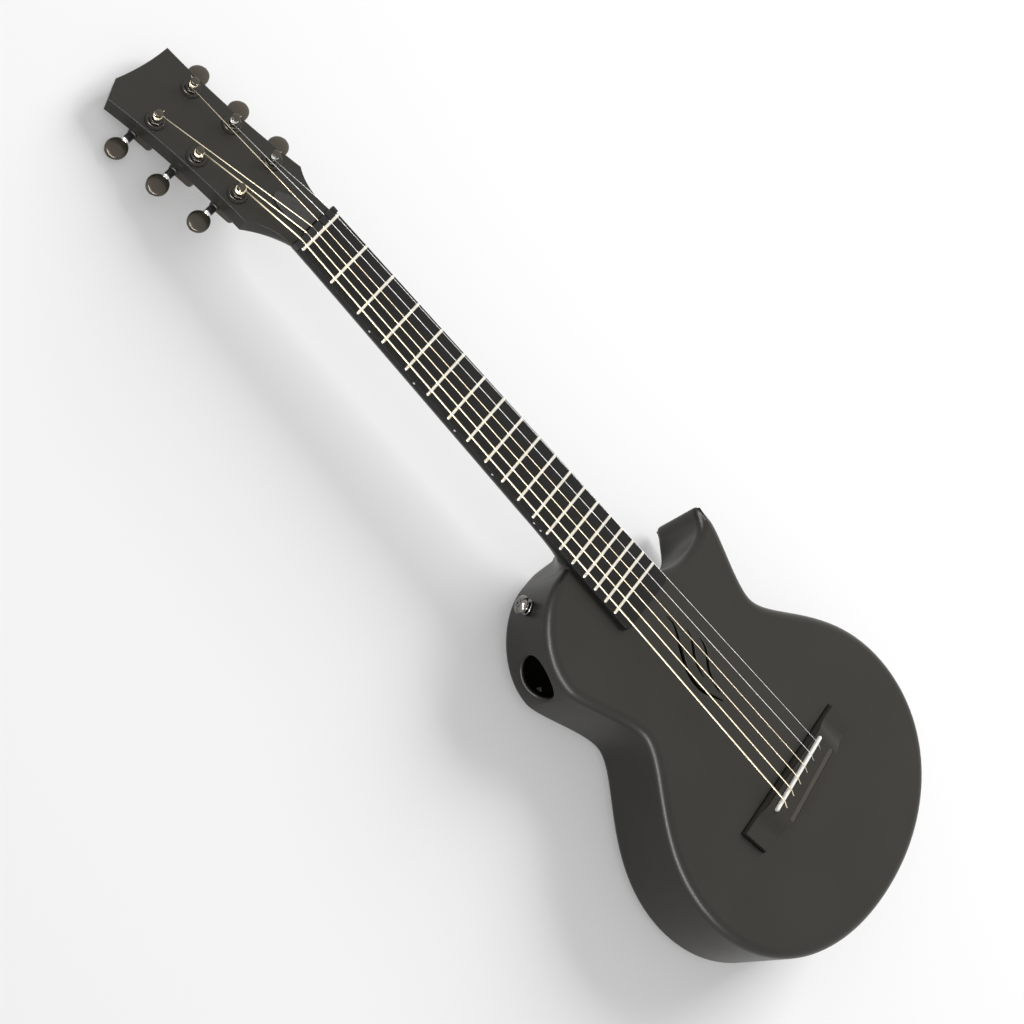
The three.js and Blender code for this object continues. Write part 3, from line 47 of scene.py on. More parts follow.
# The gap between separate pieces, how near corners have to be to become one, and how far the
# lowest faces are lifted so that they stay inside the solids' box
GAP = 0.3
CLOSE = 0.0005
BOX_ROOM = 0.06

# The guitar lies on its back
REST_TILT = -0.0304907
REST_SHIFT = (0, 271.912828, 68.513907)

# Strings
SCALE = 571.5
FRETS = 18
STRINGS = ("low_e", "a", "d", "g", "b", "high_e")
DIAMETERS = (1.35, 1.07, 0.81, 0.61, 0.41, 0.3)
TURNS = (2, 2.1, 2.4, 2.75, 3, 3)
PLAIN = ("b", "high_e")
SPREAD_AT_NUT = 38.1
SPREAD_AT_SADDLE = 61.8
STRING_SHIFT = 0.7
TURN_SPACING = 0.5
STRING_TAIL = 2.6
STRING_BEND = 0.5
STRING_LIFT = 0.05
NUT_STRING_Z = -0.25

# Body
BODY_LENGTH = 393
FRONT = -6.5
DEPTH_AT_END = 65.1
DEPTH_AT_TAIL = 83.5
WALL = 3
EDGE = 8
SHOULDER_PULL = (0.46, 0.53)
WAIST_PULL = (0.2, 0.26)
LOWER_PULL = (0.21, 0.54)
TAIL_PULL = (0.57, 0.6)
RING_SMOOTHING = 14
CAVITY_EDGE = 5
PAST_BODY = (160, 90, 5)
LIP_DEPTH = 5
LIP_THICKNESS = 2
BLOCK_LENGTH = 33.5
BLOCK_BASS = 45
BLOCK_TREBLE = 27
LOWER_HALF = 147.4
LOWER_FROM_END = 270.5
BASS_WAIST = (80.8, 135.8)
TREBLE_WAIST = (85.5, 138.5)
UPPER = (104.1, 64)
HORN = (107.1, 69.5)
SHOULDER = 38.2
HORN_TIP = (103.2, 53.3)
HORN_TIP_RADIUS = 5
HORN_TIP_SLANT = 8
HORN_STEEPNESS = (3.2, 1.6)
HORN_PULL = (0.2, 0.5)
CUT_PULL = (0.55, 0.42, 0.3)
CUT_FLOOR = (64.5, 70.4)
CUT_SIDE = (28, 44)
CUT_SLANT = 16
END_CORNER_LEAN = 32
END_CORNER_ALONG = (2, 30)
END_CORNER_DOWN = (2, 26)

# Neck and head
BOARD_HALF_AT_NUT = 23.2
BOARD_HALF_AT_END = 30.5
BOARD_THICKNESS = 4.8
BOARD_START = 1.6
BOARD_PAST_LAST_FRET = 18.5
NUT_LENGTH = 5.5
NECK_DEPTH_AT_NUT = 12.5
NECK_DEPTH_AT_HEEL = 14.5
HEEL_LENGTH = 56.5
HEEL_FILLET = 6
HEEL_RISE = 11
HEEL_POWER = 1.25
NECK_TUCK = 26
HEAD_TILT = math.radians(12.5)
HEAD_THICKNESS = 14.5
HEAD_HALF = 35
HEAD_WAIST = 3
HEAD_LENGTH = 170.3
FLARE_LENGTH = 36.9
FLARE_CONTROL = 22.6
HEAD_POWER = 0.03
HEAD_EDGE = 0.7
VOLUTE = 1.8
VOLUTE_AHEAD = 2
VOLUTE_LENGTH = 24
HEAD_STEPS = 24
HEAD_OVERSHOOT = 12
HEEL_STEPS = 28
NECK_STEPS = 14
CREST_PEAK = (16.7, 7.8)
CREST_SAG = (9.2, 0.4)

# Tuners
POST_X = 21.4
FIRST_POST = 54.5
POST_SPACING = 40.4
POST_RADIUS = 3
POST_WAIST = 2.5
POST_CAP = 3.3
POST_HOLE = 9.5
WORM_DEPTH = 21.5
WORM_Y = 8.7
WHEEL_HALF = 1.5
WHEEL_TEETH = 18
WHEEL_RADIUS = 6.1
WORM_RADIUS = 2.6
ADDENDUM = 0.5
DEDENDUM = 0.65
BACKLASH = 0.7
SLEEVE_END = 16.6
KNOB_MIDDLE = 27.3
KNOB_SIZE = (19, 17.3, 7.6)
KNOB_RIM = 1.9
POST_BORE = 4.2
BUSHING_BORE = 3.25
KNOB_SHAFT = 1.5
SHAFT_PAST_WORM = 3
SLEEVE_BORE = 1.8
CASE_WALL = 1.4
CASE_ROOM = 0.6
CASE_CORNER = 4
CASE_ROUND = 1.6

# Bridge
BRIDGE_BASS = 73.5
BRIDGE_TREBLE = 71.5
BRIDGE_FRONT = -SCALE + 2
BRIDGE_LEAN = 2
BRIDGE_WING_DEPTH = 24.6
BRIDGE_DEPTH = 33.7
BRIDGE_THICKNESS = 7.2
BRIDGE_WING = 4
SADDLE_BASS = (41, 7.7)
SADDLE_TREBLE = (39, 3.6)
SADDLE_THICKNESS = 3.2
SADDLE_TOP = 3.6
SADDLE_SEAT = 4
SADDLE_ROUND = (1.4, 1.35)
BRIDGE_CORNER = 3
BRIDGE_RAMP = (43.5, 54)
BELLY_HALF = 56
BELLY_PULL = (0.71, 0.54)
HOLE_SETBACK = 6.5
HOLE_DROP = 0.6
BALL_SEAT = (1.6, 3.6)
GROOVE_HALF = 2.25
GROOVE_DEPTH = 0.7

FRONT_NORMAL = Vector((0, 0, 1))
HEAD_NORMAL = Vector((0, math.sin(HEAD_TILT), math.cos(HEAD_TILT)))


def fret_y(number):
    """How far down the strings a fret lies."""
    return -SCALE * (1 - 2 ** (-number / 12))


BODY_END = fret_y(14) - 1.6
TAIL = BODY_END - BODY_LENGTH
BACK_SLOPE = (DEPTH_AT_TAIL - DEPTH_AT_END) / BODY_LENGTH
BACK_NORMAL = Vector((0, BACK_SLOPE, -1)).normalized()
BOARD_BOTTOM = FRONT + GAP
BOARD_TOP = BOARD_BOTTOM + BOARD_THICKNESS
BOARD_END = fret_y(FRETS) - BOARD_PAST_LAST_FRET
HEAD_START = BOARD_START + GAP + NUT_LENGTH + GAP
BRIDGE_TOP = BOARD_BOTTOM + BRIDGE_THICKNESS

PLAY = (
    Matrix.Scale(MM, 4)
    @ Matrix.Translation(REST_SHIFT)
    @ Matrix.Rotation(REST_TILT, 4, "X")
)
HEAD_IN_PLAY = Matrix.Translation((0, HEAD_START, BOARD_BOTTOM)) @ Matrix.Rotation(
    -HEAD_TILT, 4, "X"
)
HEAD = PLAY @ HEAD_IN_PLAY


def lerp(a, b, share):
    """A value between two others."""
    return a + (b - a) * share


def quadratic(start, control, end, t):
    """A curve between two points that leans towards a control point."""
    return (1 - t) ** 2 * start + 2 * t * (1 - t) * control + t**2 * end


def circle(steps):
    """Angles once round."""
    return [2 * math.pi * k / steps for k in range(steps)]


def quarter(steps):
    """Angles from zero to a right angle, both included."""
    return [math.pi / 2 * step / steps for step in range(steps + 1)]


def distances(points):
    """How far along a line each of its points is."""
    return np.concatenate([[0], np.cumsum(np.linalg.norm(np.diff(points, axis=0), axis=1))])


def back_z(y):
    """How deep the sloping back lies."""
    return FRONT - DEPTH_AT_END - BACK_SLOPE * (BODY_END - y)


def seam_z(y):
    """How deep the seam between the sides and the back lies."""
    return back_z(y) + EDGE


def board_half(y):
    """Half the fretboard's width."""
    share = (BOARD_START - y) / (BOARD_START - BOARD_END)
    return lerp(BOARD_HALF_AT_NUT, BOARD_HALF_AT_END, share)


# Mesh making


def linked(name, data):
    """A new object in the scene."""
    made = bpy.data.objects.new(name, data)
    bpy.context.scene.collection.objects.link(made)
    return made


def mesh_of(name, verts, faces):
    """An object in millimetres, its shared corners merged and its faces turned outwards."""
    mesh = bpy.data.meshes.new(name)
    mesh.from_pydata([tuple(map(float, v)) for v in verts], [], faces)
    shape = bmesh.new()
    shape.from_mesh(mesh)
    bmesh.ops.remove_doubles(shape, verts=shape.verts, dist=CLOSE)
    bmesh.ops.recalc_face_normals(shape, faces=shape.faces)
    shape.to_mesh(mesh)
    shape.free()
    return linked(name, mesh)


def ring_faces(levels, count):
    """The faces between rings of equal count, and one over either end."""
    faces = []
    for level in range(levels - 1):
        for i in range(count):
            a, b = level * count + i, level * count + (i + 1) % count
            faces.append((a, b, b + count, a + count))
    faces.append(tuple(reversed(range(count))))
    faces.append(tuple(range((levels - 1) * count, levels * count)))
    return faces


def loft(name, rings):
    """A closed surface through rings of equal count, capped at both ends."""
    verts = [point for ring in rings for point in ring]
    return mesh_of(name, verts, ring_faces(len(rings), len(rings[0])))


def turned(name, profile, steps=32):
    """A profile of radius and height turned about z."""
    angles = circle(steps)
    return loft(
        name,
        [[(radius * math.cos(a), radius * math.sin(a), height) for a in angles]
         for radius, height in profile],
    )


def rod_of(name, radius, low, high, steps=32):
    """A round rod about z."""
    return turned(name, [(0, low), (radius, low), (radius, high), (0, high)], steps)


def box_of(name, low, high):
    """A plain cutter between two corners."""
    corners = [(low[0], low[1]), (high[0], low[1]), (high[0], high[1]), (low[0], high[1])]
    return loft(name, [[(x, y, z) for x, y in corners] for z in (low[2], high[2])])


def settle(made):
    """Applies the modifiers."""
    bpy.context.view_layer.update()
    graph = bpy.context.evaluated_depsgraph_get()
    mesh = bpy.data.meshes.new_from_object(made.evaluated_get(graph))
    made.modifiers.clear()
    made.data = mesh
    return made


def combine(made, others, operation="DIFFERENCE"):
    """Cuts, joins or intersects one shape with others, which are used up."""
    for other in others:
        step = made.modifiers.new("combine", "BOOLEAN")
        step.operation = operation
        step.solver = "MANIFOLD"
        step.object = other
    settle(made)
    for other in others:
        bpy.data.objects.remove(other)
    return made


def bevelled(made, width, steps=3, angle=28):
    """Rounds every edge that is sharper than an angle."""
    edge = made.modifiers.new("edges", "BEVEL")
    edge.width = width
    edge.segments = steps
    edge.angle_limit = math.radians(angle)
    return settle(made)


def moved(made, matrix):
    """Moves a shape's own corners."""
    made.data.transform(matrix)
    return made


def creased(made, angle=35, flats=()):
    """Smooth faces with sharp edges at an angle, and round every flat that has a given normal."""
    shape = bmesh.new()
    shape.from_mesh(made.data)
    limit = math.radians(angle)
    flat_limit = math.cos(math.radians(0.3))
    for face in shape.faces:
        face.smooth = True
    for edge in shape.edges:
        if len(edge.link_faces) != 2:
            continue
        one, two = edge.link_faces
        sharp = one.normal.angle(two.normal, 0) > limit
        for flat in flats:
            sharp |= (one.normal.dot(flat) > flat_limit) != (two.normal.dot(flat) > flat_limit)
        edge.smooth = not sharp
    shape.to_mesh(made.data)
    shape.free()
    return made


def placed(made, matrix, body, slot, *nodes):
    """Puts a finished shape where it belongs, on its body, and hides the imported pieces it stands
    for.
    """
    made.data.transform(matrix)
    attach(made, body)
    if nodes:
        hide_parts(*nodes)
    return made


def merged(name, parts):
    """One object out of several shapes, each with its own finish."""
    shape = bmesh.new()
    mesh = bpy.data.meshes.new(name)
    for number, (part, material) in enumerate(parts):
        for face in part.data.polygons:
            face.material_index = number
        shape.from_mesh(part.data)
        mesh.materials.append(material)
        bpy.data.objects.remove(part)
    shape.to_mesh(mesh)
    shape.free()
    return linked(name, mesh)


def painted(made, material):
    """Gives a shape one finish all over."""
    made.data.materials.clear()
    made.data.materials.append(material)
    return made


def unit(vectors):
    """Vectors brought to a length of one."""
    return vectors / np.maximum(np.linalg.norm(vectors, axis=-1, keepdims=True), 1e-12)


def softened(points, radius, steps=4):
    """An open line with its corners rounded, in two or three dimensions."""
    points = [np.array(point, float) for point in points]
    line = [points[0]]
    for before, corner, after in zip(points, points[1:], points[2:]):
        reach = min(
            radius,
            0.45 * np.linalg.norm(before - corner),
            0.45 * np.linalg.norm(after - corner),
        )
        start = corner + unit(before - corner) * reach
        end = corner + unit(after - corner) * reach
        line += [quadratic(start, corner, end, step / steps) for step in range(steps + 1)]
    line.append(points[-1])
    return line


def softened_ring(points, radius, steps=4):
    """A closed line with its corners rounded."""
    line = softened([points[-1], *points, points[0]], radius, steps)
    return line[1:-1]


def inward(points):
    """Inward directions at the corners of a counterclockwise outline."""
    way = unit(np.roll(points, -1, 0) - points) + unit(points - np.roll(points, 1, 0))
    way = unit(way)
    return np.stack([-way[:, 1], way[:, 0]], 1)


def inset_ring(points, inset):
    """The outline moved inwards by the same distance along every edge."""
    points = np.array(points, float)
    edge = unit(np.roll(points, -1, 0) - points)
    ways = inward(points)
    along = np.maximum((ways * np.stack([-edge[:, 1], edge[:, 0]], 1)).sum(1), 0.3)
    return points + ways * (inset / along)[:, None]


def plate(name, shape, levels):
    """A plate with one ring of its outline for every height and inset."""
    return loft(name, [[(x, y, z) for x, y in inset_ring(shape, inset)] for z, inset in levels])


def rounded_top(low, high, radius, steps=3):
    """Levels of a plate whose upper edge is rounded."""
    return [(low, 0)] + [
        (high - radius + radius * math.sin(angle), radius * (1 - math.cos(angle)))
        for angle in quarter(steps)
    ]


# Body outline


def curve_points(curve, steps):
    """A curve from its first point to its last, which leans towards the two between."""
    t = np.linspace(0, 1, steps, endpoint=False)[:, None]
    a, b, c, d = (np.array(point, float) for point in curve)
    return (1 - t) ** 3 * a + 3 * (1 - t) ** 2 * t * b + 3 * (1 - t) * t**2 * c + t**3 * d


SHOULDER_CURVE = (
    (-SHOULDER, BODY_END),
    (-lerp(SHOULDER, UPPER[0], SHOULDER_PULL[0]), BODY_END),
    (-UPPER[0], BODY_END - UPPER[1] * (1 - SHOULDER_PULL[1])),
    (-UPPER[0], BODY_END - UPPER[1]),
)


def side_curves(side, upper, waist):
    """From the upper bout over the waist to the tail, on either side."""
    upper_x, upper_y = side * upper[0], BODY_END - upper[1]
    waist_x, waist_y = side * waist[0], BODY_END - waist[1]
    lower_x, lower_y = side * LOWER_HALF, BODY_END - LOWER_FROM_END
    waist_drop, lower_drop, tail_drop = upper_y - waist_y, waist_y - lower_y, lower_y - TAIL
    return [
        (
            (upper_x, upper_y),
            (upper_x, upper_y - waist_drop * WAIST_PULL[0]),
            (waist_x, waist_y + waist_drop * WAIST_PULL[1]),
            (waist_x, waist_y),
        ),
        (
            (waist_x, waist_y),
            (waist_x, waist_y - lower_drop * LOWER_PULL[0]),
            (lower_x, lower_y + lower_drop * LOWER_PULL[1]),
            (lower_x, lower_y),
        ),
        (
            (lower_x, lower_y),
            (lower_x, lower_y - tail_drop * TAIL_PULL[0]),
            (lower_x * TAIL_PULL[1], TAIL),
            (0, TAIL),
        ),
    ]


def cutaway_curves(depth_share):
    """The horn's tip and the cutaway, which slants towards the tail as it nears the back."""
    horn_y = BODY_END - HORN[1]
    tip = np.array((HORN_TIP[0], BODY_END - HORN_TIP[1] - HORN_TIP_SLANT * depth_share))
    floor = np.array((CUT_FLOOR[0], BODY_END - CUT_FLOOR[1] - CUT_SLANT * depth_share))
    side_x = CUT_SIDE[0] - END_CORNER_LEAN * depth_share
    side = np.array((side_x, BODY_END - CUT_SIDE[1] - CUT_SLANT * depth_share))
    floor_run, side_run = tip[0] - floor[0], floor[0] - side[0]
    steepness = lerp(*HORN_STEEPNESS, depth_share)
    down = unit(np.array((-floor_run, (floor[1] - tip[1]) * steepness)))
    after = tip + down * HORN_TIP_RADIUS * 2
    return [
        (
            (HORN[0], horn_y),
            (HORN[0], lerp(horn_y, tip[1], 0.5)),
            tip + (HORN_TIP_RADIUS, 0),
            tip,
        ),
        (tip, tip - (HORN_TIP_RADIUS / 2, 0), after - down * HORN_TIP_RADIUS / 2, after),
        (
            after,
            after + down * floor_run * lerp(*HORN_PULL, depth_share),
            floor + (floor_run * CUT_PULL[0], 0),
            floor,
        ),
        (
            floor,
            floor - (side_run * CUT_PULL[1], 0),
            side - (0, CUT_SIDE[1] * CUT_PULL[2]),
            side,
        ),
    ]


OUTLINE_STEPS = (26, 18, 24, 32, 32, 24, 18, 14, 10, 18, 18)


def outline(depth_share):
    """The body seen from the front, counterclockwise, at a share of its depth."""
    bass = side_curves(-1, UPPER, BASS_WAIST)
    treble = [curve[::-1] for curve in reversed(side_curves(1, HORN, TREBLE_WAIST))]
    cut = cutaway_curves(depth_share)
    curves = [SHOULDER_CURVE, *bass, *treble, *cut]
    points = [curve_points(curve, count) for curve, count in zip(curves, OUTLINE_STEPS)]
    side = cut[-1][3]
    along = lerp(*END_CORNER_ALONG, depth_share)
    down = lerp(*END_CORNER_DOWN, depth_share)
    corner = np.array((side[0], BODY_END))
    points.append(np.array([side, lerp(side, corner - (0, down), 0.5)]))
    t = np.linspace(0, 1, 9)[:, None]
    points.append(quadratic(corner - (0, down), corner, corner - (along, 0), t))
    return np.vstack(points)


def rooms(points, ways):
    """How far each point may move inwards before the sides meet."""
    step = points[None] - points[:, None]
    lean = (step * ways[:, None]).sum(2)
    reach = np.full(lean.shape, np.inf)
    ahead = lean > 1e-4
    reach[ahead] = (step**2).sum(2)[ahead] / (2 * lean[ahead])
    return reach.min(1)


MIDDLE = outline(0.5)
MIDDLE_ROOM = rooms(MIDDLE, inward(MIDDLE))


def body_ring(depth_share, inset, height, least_room=0):
    """The outline at a depth share, drawn in by an inset and set at a height."""
    points = outline(depth_share)
    ways = inward(points)
    room = rooms(points, ways) * 0.9
    reach = np.minimum(inset, room)
    for _ in range(RING_SMOOTHING):
        reach = np.minimum((np.roll(reach, 1) + 2 * reach + np.roll(reach, -1)) / 4, room)
    places = points + ways * reach[:, None]
    kept = MIDDLE_ROOM >= least_room
    return [(x, y, height(y)) for (x, y), keep in zip(places, kept) if keep]


FRONT_WALL_SHARE = EDGE / DEPTH_AT_END
BACK_WALL_SHARE = 1 - FRONT_WALL_SHARE


def edge_rings(radius, flat_inset, flat_share, wall_share, height, least_room=0, steps=10):
    """Rings round a quarter circle, from the flat face to the wall."""
    rings = []
    for angle in quarter(steps):
        inset = flat_inset + radius * (1 - math.sin(angle))
        fall = radius * (1 - math.cos(angle))
        share = lerp(flat_share, wall_share, fall / radius)
        rings.append(
            body_ring(share, inset, lambda y, fall=fall: height(y, fall), least_room)
        )
    return rings


def front_edge():
    """The round-over between the front and the sides."""
    return edge_rings(EDGE, 0, 0, FRONT_WALL_SHARE, lambda y, fall: FRONT - fall)


def back_edge():
    """The round-over between the back and the sides."""
    return edge_rings(EDGE, 0, 1, BACK_WALL_SHARE, lambda y, fall: back_z(y) + BOX_ROOM + fall)


def block_box(clearance):
    """The room of the neck block inside the body."""
    return box_of(
        "neck_block",
        (-BLOCK_BASS - clearance, BODY_END - BLOCK_LENGTH - clearance, back_z(TAIL) - 1),
        (BLOCK_TREBLE + clearance, BODY_END + 2, FRONT - WALL + 1),
    )


# Sound slots and port

SLOT_STARTS = (161.5, 140.9, 127.4)
SLOT_LENGTHS = (81.9, 35.8, 42.4)
SLOT_SWINGS = (12.5, 16.3, 19.8)
SLOT_WIDTHS = (3.6, 2.8, 2.8)
SLOT_END_WIDTH = 0.8
SLOT_RIM = 0.6
SLOT_LINES = (
    ((0.76, 0), (0.76, 0.1), (0.45, 0.2), (0.08, 0.28), (-0.38, 0.39), (-0.78, 0.5),
     (-1, 0.64), (-0.97, 0.77), (-0.59, 0.9), (-0.32, 1)),
    ((1, 0), (0.83, 0.19), (0.55, 0.37), (0.23, 0.54), (-0.02, 0.76), (-0.16, 1)),
    ((1, 0), (0.91, 0.165), (0.69, 0.32), (0.37, 0.48), (0.17, 0.64), (0.03, 0.82), (-0.035, 1)),
)


def smooth_line(points, steps):
    """A smooth line that passes through every point."""
    points = np.array(points, float)
    padded = np.vstack([2 * points[0] - points[1], points, 2 * points[-1] - points[-2]])
    line = []
    for a, b, c, d in zip(padded, padded[1:], padded[2:], padded[3:]):
        for step in range(steps):
            t = step / steps
            line.append(
                0.5 * (2 * b + (c - a) * t + (2 * a - 5 * b + 4 * c - d) * t**2
                       + (3 * b - a - 3 * c + d) * t**3)
            )
    line.append(points[-1])
    return np.array(line)


def slot_ring(number, extra, z):
    """A sound slot's outline, made wider and set at a height."""
    start = BRIDGE_FRONT + SLOT_STARTS[number]
    line = smooth_line(
        [(across * SLOT_SWINGS[number], start - down * SLOT_LENGTHS[number])
         for across, down in SLOT_LINES[number]], 5,
    )
    way = unit(np.gradient(line, axis=0))
    side = np.stack([-way[:, 1], way[:, 0]], 1)
    swell = np.sin(np.linspace(0, math.pi, len(line)))
    half = lerp(SLOT_END_WIDTH, SLOT_WIDTHS[number], swell)[:, None] / 2 + extra
    line = line.copy()
    line[0] -= way[0] * extra
    line[-1] += way[-1] * extra
    ring = np.vstack([line + side * half, (line - side * half)[::-1]])
    return [(x, y, z) for x, y in ring]


def flare_levels(radius, steps=4):
    """Depths under a surface and how much wider a hole is there, for a rounded rim."""
    return [(radius * (1 - math.sin(a)), radius * (1 - math.cos(a))) for a in quarter(steps)]


def slot_cutter(number):
    """What is cut out of the front for a sound slot, with its rounded rim."""
    rings = [slot_ring(number, 0, FRONT - WALL - 2)]
    for depth, extra in flare_levels(SLOT_RIM):
        rings.append(slot_ring(number, extra, FRONT - depth))
    rings.append(slot_ring(number, SLOT_RIM, FRONT + 2))
    return loft("slot", rings)


SHOULDER_STEPS = 400
SHOULDER_LINE = curve_points(SHOULDER_CURVE, SHOULDER_STEPS)
SHOULDER_RUN = distances(SHOULDER_LINE)
SHOULDER_WAYS = unit(np.gradient(SHOULDER_LINE, axis=0))


def shoulder_frame(share):
    """The point and the outward direction at a share of the shoulder's curve."""
    at = int(round(share * SHOULDER_STEPS))
    way = SHOULDER_WAYS[at]
    return SHOULDER_LINE[at], np.array((way[1], -way[0])), SHOULDER_RUN[at]


PORT_SIZE = (19.5, 17)
PORT_DEPTH = 31.8
PORT_SHARE = 0.82
PORT_RIM = 2.2


def port_ring(extra, out, steps=64):
    """An oval drawn on the bass side wall, a distance out of it."""
    _, _, middle_run = shoulder_frame(PORT_SHARE)
    ring = []
    for angle in circle(steps):
        run = middle_run + (PORT_SIZE[0] + extra) * math.cos(angle)
        x = np.interp(run, SHOULDER_RUN, SHOULDER_LINE[:, 0])
        y = np.interp(run, SHOULDER_RUN, SHOULDER_LINE[:, 1])
        if run > SHOULDER_RUN[-1]:
            y -= run - SHOULDER_RUN[-1]
        way = unit(np.array([np.interp(run, SHOULDER_RUN, SHOULDER_WAYS[:, k]) for k in (0, 1)]))
        z = FRONT - PORT_DEPTH + (PORT_SIZE[1] + extra) * math.sin(angle)
        ring.append((x + way[1] * out, y - way[0] * out, z))
    return ring


def port_cutter():
    """What is cut out of the side for the sound port, with its rounded rim."""
    rings = [port_ring(-1.5, -14), port_ring(0, -PORT_RIM - 1)]
    for depth, extra in flare_levels(PORT_RIM, 6):
        rings.append(port_ring(extra, -depth))
    rings.append(port_ring(PORT_RIM, 3))
    return loft("port", rings)


# Neck and headstock


def powered(share, power):
    """A share bent by a power, with its sign kept."""
    return 0 if abs(share) < 1e-4 else math.copysign(abs(share) ** power, share)


def section(y, bass, treble, top, bottom, power, edge=0.0, steps=48):
    """Across the neck or head: flat on top with rounded edges, a back between round and square."""
    rim = flare_levels(edge, 4)[:-1]
    ring = [(treble - inset, y, top - fall) for inset, fall in rim]
    for i in range(steps + 1):
        angle = math.pi * i / steps
        across = powered(math.cos(angle), power)
        x = across * (bass if across < 0 else treble)
        depth = (top - edge - bottom) * powered(math.sin(angle), power)
        ring.append((x, y, top - edge - depth))
    return ring + [(-bass + inset, y, top - fall) for inset, fall in reversed(rim)]


def volute(y):
    """How much deeper the neck is behind the nut."""
    return VOLUTE * math.exp(-(((y - HEAD_START - VOLUTE_AHEAD) / VOLUTE_LENGTH) ** 2))


def head_sections():
    """Rings from the nut to past the tip of the headstock."""
    def ring(v, half, top, bottom, power, edge):
        points = section(v, half, half, top, bottom, power, edge)
        return [tuple(HEAD_IN_PLAY @ Vector(point)) for point in points]

    base = board_half(HEAD_START)
    start_bottom = -NECK_DEPTH_AT_NUT - GAP
    rings = [ring(0, base, -GAP, start_bottom - volute(HEAD_START), 1, 0)]
    for step in range(HEAD_STEPS + 1):
        t = step / HEAD_STEPS
        v = 2 * t * (1 - t) * FLARE_CONTROL + t**2 * FLARE_LENGTH
        half = lerp(base, HEAD_HALF, t**2)
        settled = t * (2 - t)
        bottom = lerp(start_bottom, -HEAD_THICKNESS, settled) - volute(HEAD_START + v) * (1 - t)
        power = lerp(1, HEAD_POWER, settled)
        rings.append(ring(v + 0.01, half, 0, bottom, power, HEAD_EDGE * min(1, 3 * t)))
    for step in range(1, HEAD_STEPS + 1):
        s = step / HEAD_STEPS
        half = HEAD_HALF - HEAD_WAIST * 4 * s * (1 - s)
        v = lerp(FLARE_LENGTH, HEAD_LENGTH, s)
        rings.append(ring(v, half, 0, -HEAD_THICKNESS, HEAD_POWER, HEAD_EDGE))
    end = HEAD_LENGTH + HEAD_OVERSHOOT
    rings.append(ring(end, HEAD_HALF, 0, -HEAD_THICKNESS, HEAD_POWER, HEAD_EDGE))
    return rings


def flared(ring, top, bottom, flare):
    """The bass side drawn outwards, fully from a third of the depth and not at the face."""
    half = -ring[-1][0]
    wide = []
    for x, y, z in ring:
        share = min(1, 3 * (top - z) / (top - bottom))
        wide.append((x * (1 + flare / half * share) if x < 0 else x, y, z))
    return wide


def neck_solid():
    """Headstock, neck and heel in one piece."""
    heel_start = BODY_END + HEEL_LENGTH
    heel_bottom = seam_z(BODY_END) + HEEL_RISE

    def shaft_bottom(y):
        share = (HEAD_START - y) / (HEAD_START - heel_start)
        return FRONT - lerp(NECK_DEPTH_AT_NUT, NECK_DEPTH_AT_HEEL, share) - volute(y)

    rings = head_sections()[::-1]
    for y in np.linspace(HEAD_START - 2.5, heel_start, NECK_STEPS):
        half = board_half(y)
        rings.append(section(y, half, half, FRONT, shaft_bottom(y), 1))
    for angle in quarter(HEEL_STEPS)[1:]:
        y = heel_start - HEEL_LENGTH * math.sin(angle)
        bottom = lerp(heel_bottom, shaft_bottom(heel_start), math.cos(angle))
        power = lerp(1, HEEL_POWER, math.sin(angle))
        into = max(0, HEEL_FILLET - (y - BODY_END))
        flare = HEEL_FILLET - math.sqrt(HEEL_FILLET**2 - into**2)
        half = board_half(y)
        rings.append(flared(section(y, half, half, FRONT, bottom, power), FRONT, bottom, flare))
    inner = BODY_END - BLOCK_LENGTH + 2
    rings.append(section(inner, NECK_TUCK, NECK_TUCK / 2, FRONT - 1, heel_bottom, HEEL_POWER))
    return loft("neck", rings)


def crest_cutter():
    """What is cut away beyond the head's tip, with a rounded rim at the face."""
    steps = 14
    line = [(-HEAD_HALF - 4, HEAD_LENGTH - 4 * CREST_PEAK[1] / (HEAD_HALF - CREST_PEAK[0]))]
    line.append((-CREST_PEAK[0], HEAD_LENGTH + CREST_PEAK[1]))
    start = np.array(line[-1])
    control = np.array((CREST_SAG[0], HEAD_LENGTH + CREST_SAG[1]))
    end = np.array((HEAD_HALF, HEAD_LENGTH))
    line += [quadratic(start, control, end, step / steps) for step in range(1, steps + 1)]
    line.append(end + unit(end - line[-2]) * 4)
    line = np.array(line)
    way = unit(np.gradient(line, axis=0))
    inner = np.stack([way[:, 1], -way[:, 0]], 1)

    def ring(extra, z):
        edge = line + inner * extra
        points = [*edge, (HEAD_HALF + 8, HEAD_LENGTH + 16), (-HEAD_HALF - 8, HEAD_LENGTH + 16)]
        return [tuple(HEAD_IN_PLAY @ Vector((x, y, z))) for x, y in points]

    rings = [ring(0, -HEAD_THICKNESS - 2)]
    for depth, extra in flare_levels(HEAD_EDGE, 3):
        rings.append(ring(extra, -depth))
    rings.append(ring(HEAD_EDGE, 2))
    return loft("crest", rings)


def along_matrix(point, direction):
    """The place and turn of a shape whose z axis follows a direction."""
    turn = Vector((0, 0, 1)).rotation_difference(Vector(direction))
    return Matrix.Translation(point) @ turn.to_matrix().to_4x4()


STRAP_SHARE = 0.255
STRAP_DEPTHS = (31.5, 41.5)
SIDE_POINT, SIDE_OUT = shoulder_frame(STRAP_SHARE)[:2]
STRAPS = (
    ("side", Vector((*SIDE_POINT, FRONT - STRAP_DEPTHS[0])), Vector((*SIDE_OUT, 0))),
    ("tail", Vector((0, TAIL, FRONT - STRAP_DEPTHS[1])), Vector((0, -1, 0))),
)
STRAP_HOLE = (2.3, 11)
ROD_CHANNEL = (3.3, 297.3, 9.6)
NUT_POCKET = (3.5, 3.5, 25.4, 16.3)

